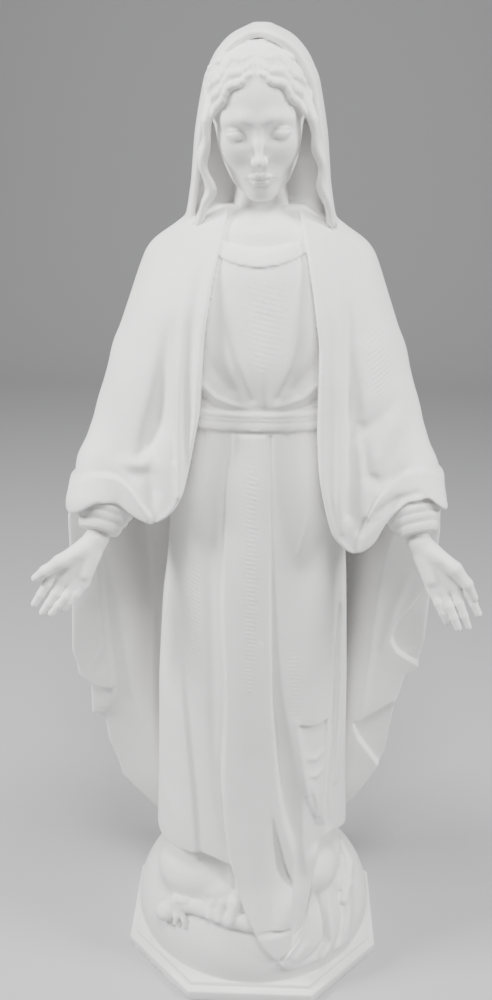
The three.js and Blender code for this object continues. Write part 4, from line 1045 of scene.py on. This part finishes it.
def marble_material():
    material = bpy.data.materials.new("white_marble")
    material.use_nodes = True
    tree = material.node_tree
    shader = tree.nodes["Principled BSDF"]
    shader.inputs["Roughness"].default_value = MARBLE_ROUGHNESS
    shader.inputs["Subsurface Weight"].default_value = MARBLE_GLOW
    shader.inputs["Subsurface Radius"].default_value = MARBLE_GLOW_REACH
    shader.inputs["Subsurface Scale"].default_value = MARBLE_GLOW_SCALE
    place = tree.nodes.new("ShaderNodeTexCoord")
    cloud = tree.nodes.new("ShaderNodeTexNoise")
    cloud.inputs["Scale"].default_value = CLOUD_SCALE
    cloud.inputs["Detail"].default_value = CLOUD_DETAIL
    cloud.inputs["Distortion"].default_value = CLOUD_DISTORTION
    tree.links.new(place.outputs["Object"], cloud.inputs["Vector"])
    tint = tree.nodes.new("ShaderNodeValToRGB")
    for element, (position, colour) in zip(tint.color_ramp.elements, CLOUD_TINTS):
        element.position = position
        element.color = colour
    tree.links.new(cloud.outputs["Fac"], tint.inputs["Fac"])
    tree.links.new(tint.outputs["Color"], shader.inputs["Base Color"])
    grain = tree.nodes.new("ShaderNodeTexNoise")
    grain.inputs["Scale"].default_value = GRAIN_SCALE
    grain.inputs["Detail"].default_value = GRAIN_DETAIL
    tree.links.new(place.outputs["Object"], grain.inputs["Vector"])
    relief = tree.nodes.new("ShaderNodeBump")
    relief.inputs["Strength"].default_value = GRAIN_STRENGTH
    relief.inputs["Distance"].default_value = GRAIN_HEIGHT
    tree.links.new(grain.outputs["Fac"], relief.inputs["Height"])
    tree.links.new(relief.outputs["Normal"], shader.inputs["Normal"])
    return material


def carved_statue():
    parts = [
        carve_part("cloth", cloth_field, CLOTH_BOX, CLOTH_STEP, CLOTH_TRIANGLES),
        carve_part("head", head_field, HEAD_BOX, HEAD_STEP, HEAD_TRIANGLES),
        carve_part("hand_left", hand_field(-1), HAND_LEFT_BOX, HAND_STEP, HAND_TRIANGLES),
        carve_part("hand_right", hand_field(1), HAND_RIGHT_BOX, HAND_STEP, HAND_TRIANGLES),
        carve_part("base", base_field, BASE_BOX, BASE_STEP, BASE_TRIANGLES),
    ]
    statue = join_parts(parts)
    statue.name = "carved_statue"
    statue.data.name = "carved_statue"
    select_only(statue)
    bpy.ops.object.shade_smooth_by_angle(angle=SMOOTH_ANGLE)
    statue.data.materials.clear()
    statue.data.materials.append(marble_material())
    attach(statue, "root")
    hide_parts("statue")
    return statue


# Floor, light and camera, in metres

FLOOR_SIZE, FLOOR_SHIFT = 9.0, 0.6
WALL_HEIGHT, WALL_CURVE, WALL_CURVE_SEGMENTS = 4.0, 1.6, 24
FLOOR_COLOUR, FLOOR_ROUGHNESS = (0.5, 0.5, 0.51, 1), 0.9

# Soft lamps: name, place, aim, size and power in watts
LAMPS = (
    ("left_softbox", (-2.4, -0.7, 2.5), (0, 0, 0.85), 0.8, 128),
    ("right_softbox", (2.5, -0.8, 2.4), (0, 0, 0.85), 0.8, 92),
    ("top_softbox", (0.1, -1.4, 3.4), (0, 0, 0.95), 0.9, 96),
)
ROOM_COLOUR, ROOM_LIGHT = (1, 1, 1, 1), 0.13

CAMERA_PLACE = (0.0318, -1.5135, 1.5815)
CAMERA_PITCH = math.radians(23.953)
CAMERA_ROLL = math.radians(0.3116)
CAMERA_TURN = math.radians(1.9167)
CAMERA_SENSOR, CAMERA_LENS = 36, 36
CAMERA_NEAR = 0.05


def add_floor():
    """A plain pale floor that runs up into a wall behind the statue."""
    bpy.ops.object.select_all(action="DESELECT")
    bpy.ops.mesh.primitive_plane_add(size=FLOOR_SIZE, location=(0, FLOOR_SHIFT, 0))
    floor = bpy.context.object
    floor.name = "floor"
    far_edge = FLOOR_SHIFT + FLOOR_SIZE / 2
    bpy.ops.object.transform_apply(location=True)
    bpy.ops.object.mode_set(mode="EDIT")
    bpy.ops.mesh.select_mode(type="EDGE")
    bpy.ops.mesh.select_all(action="DESELECT")
    bpy.ops.object.mode_set(mode="OBJECT")
    for edge in floor.data.edges:
        edge.select = all(floor.data.vertices[i].co.y > far_edge - 0.1 for i in edge.vertices)
    bpy.ops.object.mode_set(mode="EDIT")
    bpy.ops.mesh.extrude_region_move(TRANSFORM_OT_translate={"value": (0, 0, WALL_HEIGHT)})
    bpy.ops.mesh.select_all(action="DESELECT")
    bpy.ops.object.mode_set(mode="OBJECT")
    for edge in floor.data.edges:
        ends = [floor.data.vertices[i].co for i in edge.vertices]
        edge.select = all(end.y > far_edge - 0.1 and end.z < 0.1 for end in ends)
    bpy.ops.object.mode_set(mode="EDIT")
    bpy.ops.mesh.bevel(offset=WALL_CURVE, segments=WALL_CURVE_SEGMENTS, affect="EDGES")
    bpy.ops.object.mode_set(mode="OBJECT")
    bpy.ops.object.shade_smooth()
    material = bpy.data.materials.new("floor_paint")
    material.use_nodes = True
    shader = material.node_tree.nodes["Principled BSDF"]
    shader.inputs["Base Color"].default_value = FLOOR_COLOUR
    shader.inputs["Roughness"].default_value = FLOOR_ROUGHNESS
    floor.data.materials.append(material)


def add_lamp(name, place, aim, size, power):
    lamp = bpy.data.lights.new(name, "AREA")
    lamp.size = size
    lamp.energy = power
    holder = bpy.data.objects.new(name, lamp)
    bpy.context.scene.collection.objects.link(holder)
    holder.location = place
    direction = np.array(aim) - np.array(place)
    turn = math.atan2(direction[0], -direction[1])
    tilt = math.atan2(math.hypot(direction[0], direction[1]), -direction[2])
    holder.rotation_euler = (tilt, 0, turn + math.pi)


def add_lights():
    world = bpy.data.worlds.new("studio")
    world.use_nodes = True
    room = world.node_tree.nodes["Background"]
    room.inputs["Color"].default_value = ROOM_COLOUR
    room.inputs["Strength"].default_value = ROOM_LIGHT
    bpy.context.scene.world = world
    for lamp in LAMPS:
        add_lamp(*lamp)


def add_camera():
    camera = bpy.data.cameras.new("camera")
    camera.sensor_width = CAMERA_SENSOR
    camera.sensor_height = CAMERA_SENSOR
    camera.lens = CAMERA_LENS
    camera.clip_start = CAMERA_NEAR
    holder = bpy.data.objects.new("camera", camera)
    bpy.context.scene.collection.objects.link(holder)
    holder.location = CAMERA_PLACE
    holder.rotation_mode = "XYZ"
    turn = Matrix.Rotation(CAMERA_TURN, 3, "Z")
    pitch = Matrix.Rotation(math.pi / 2 - CAMERA_PITCH, 3, "X")
    roll = Matrix.Rotation(CAMERA_ROLL, 3, "Z")
    holder.rotation_euler = (turn @ pitch @ roll).to_euler()
    bpy.context.scene.camera = holder


add_floor()
add_lights()
add_camera()
carved_statue()
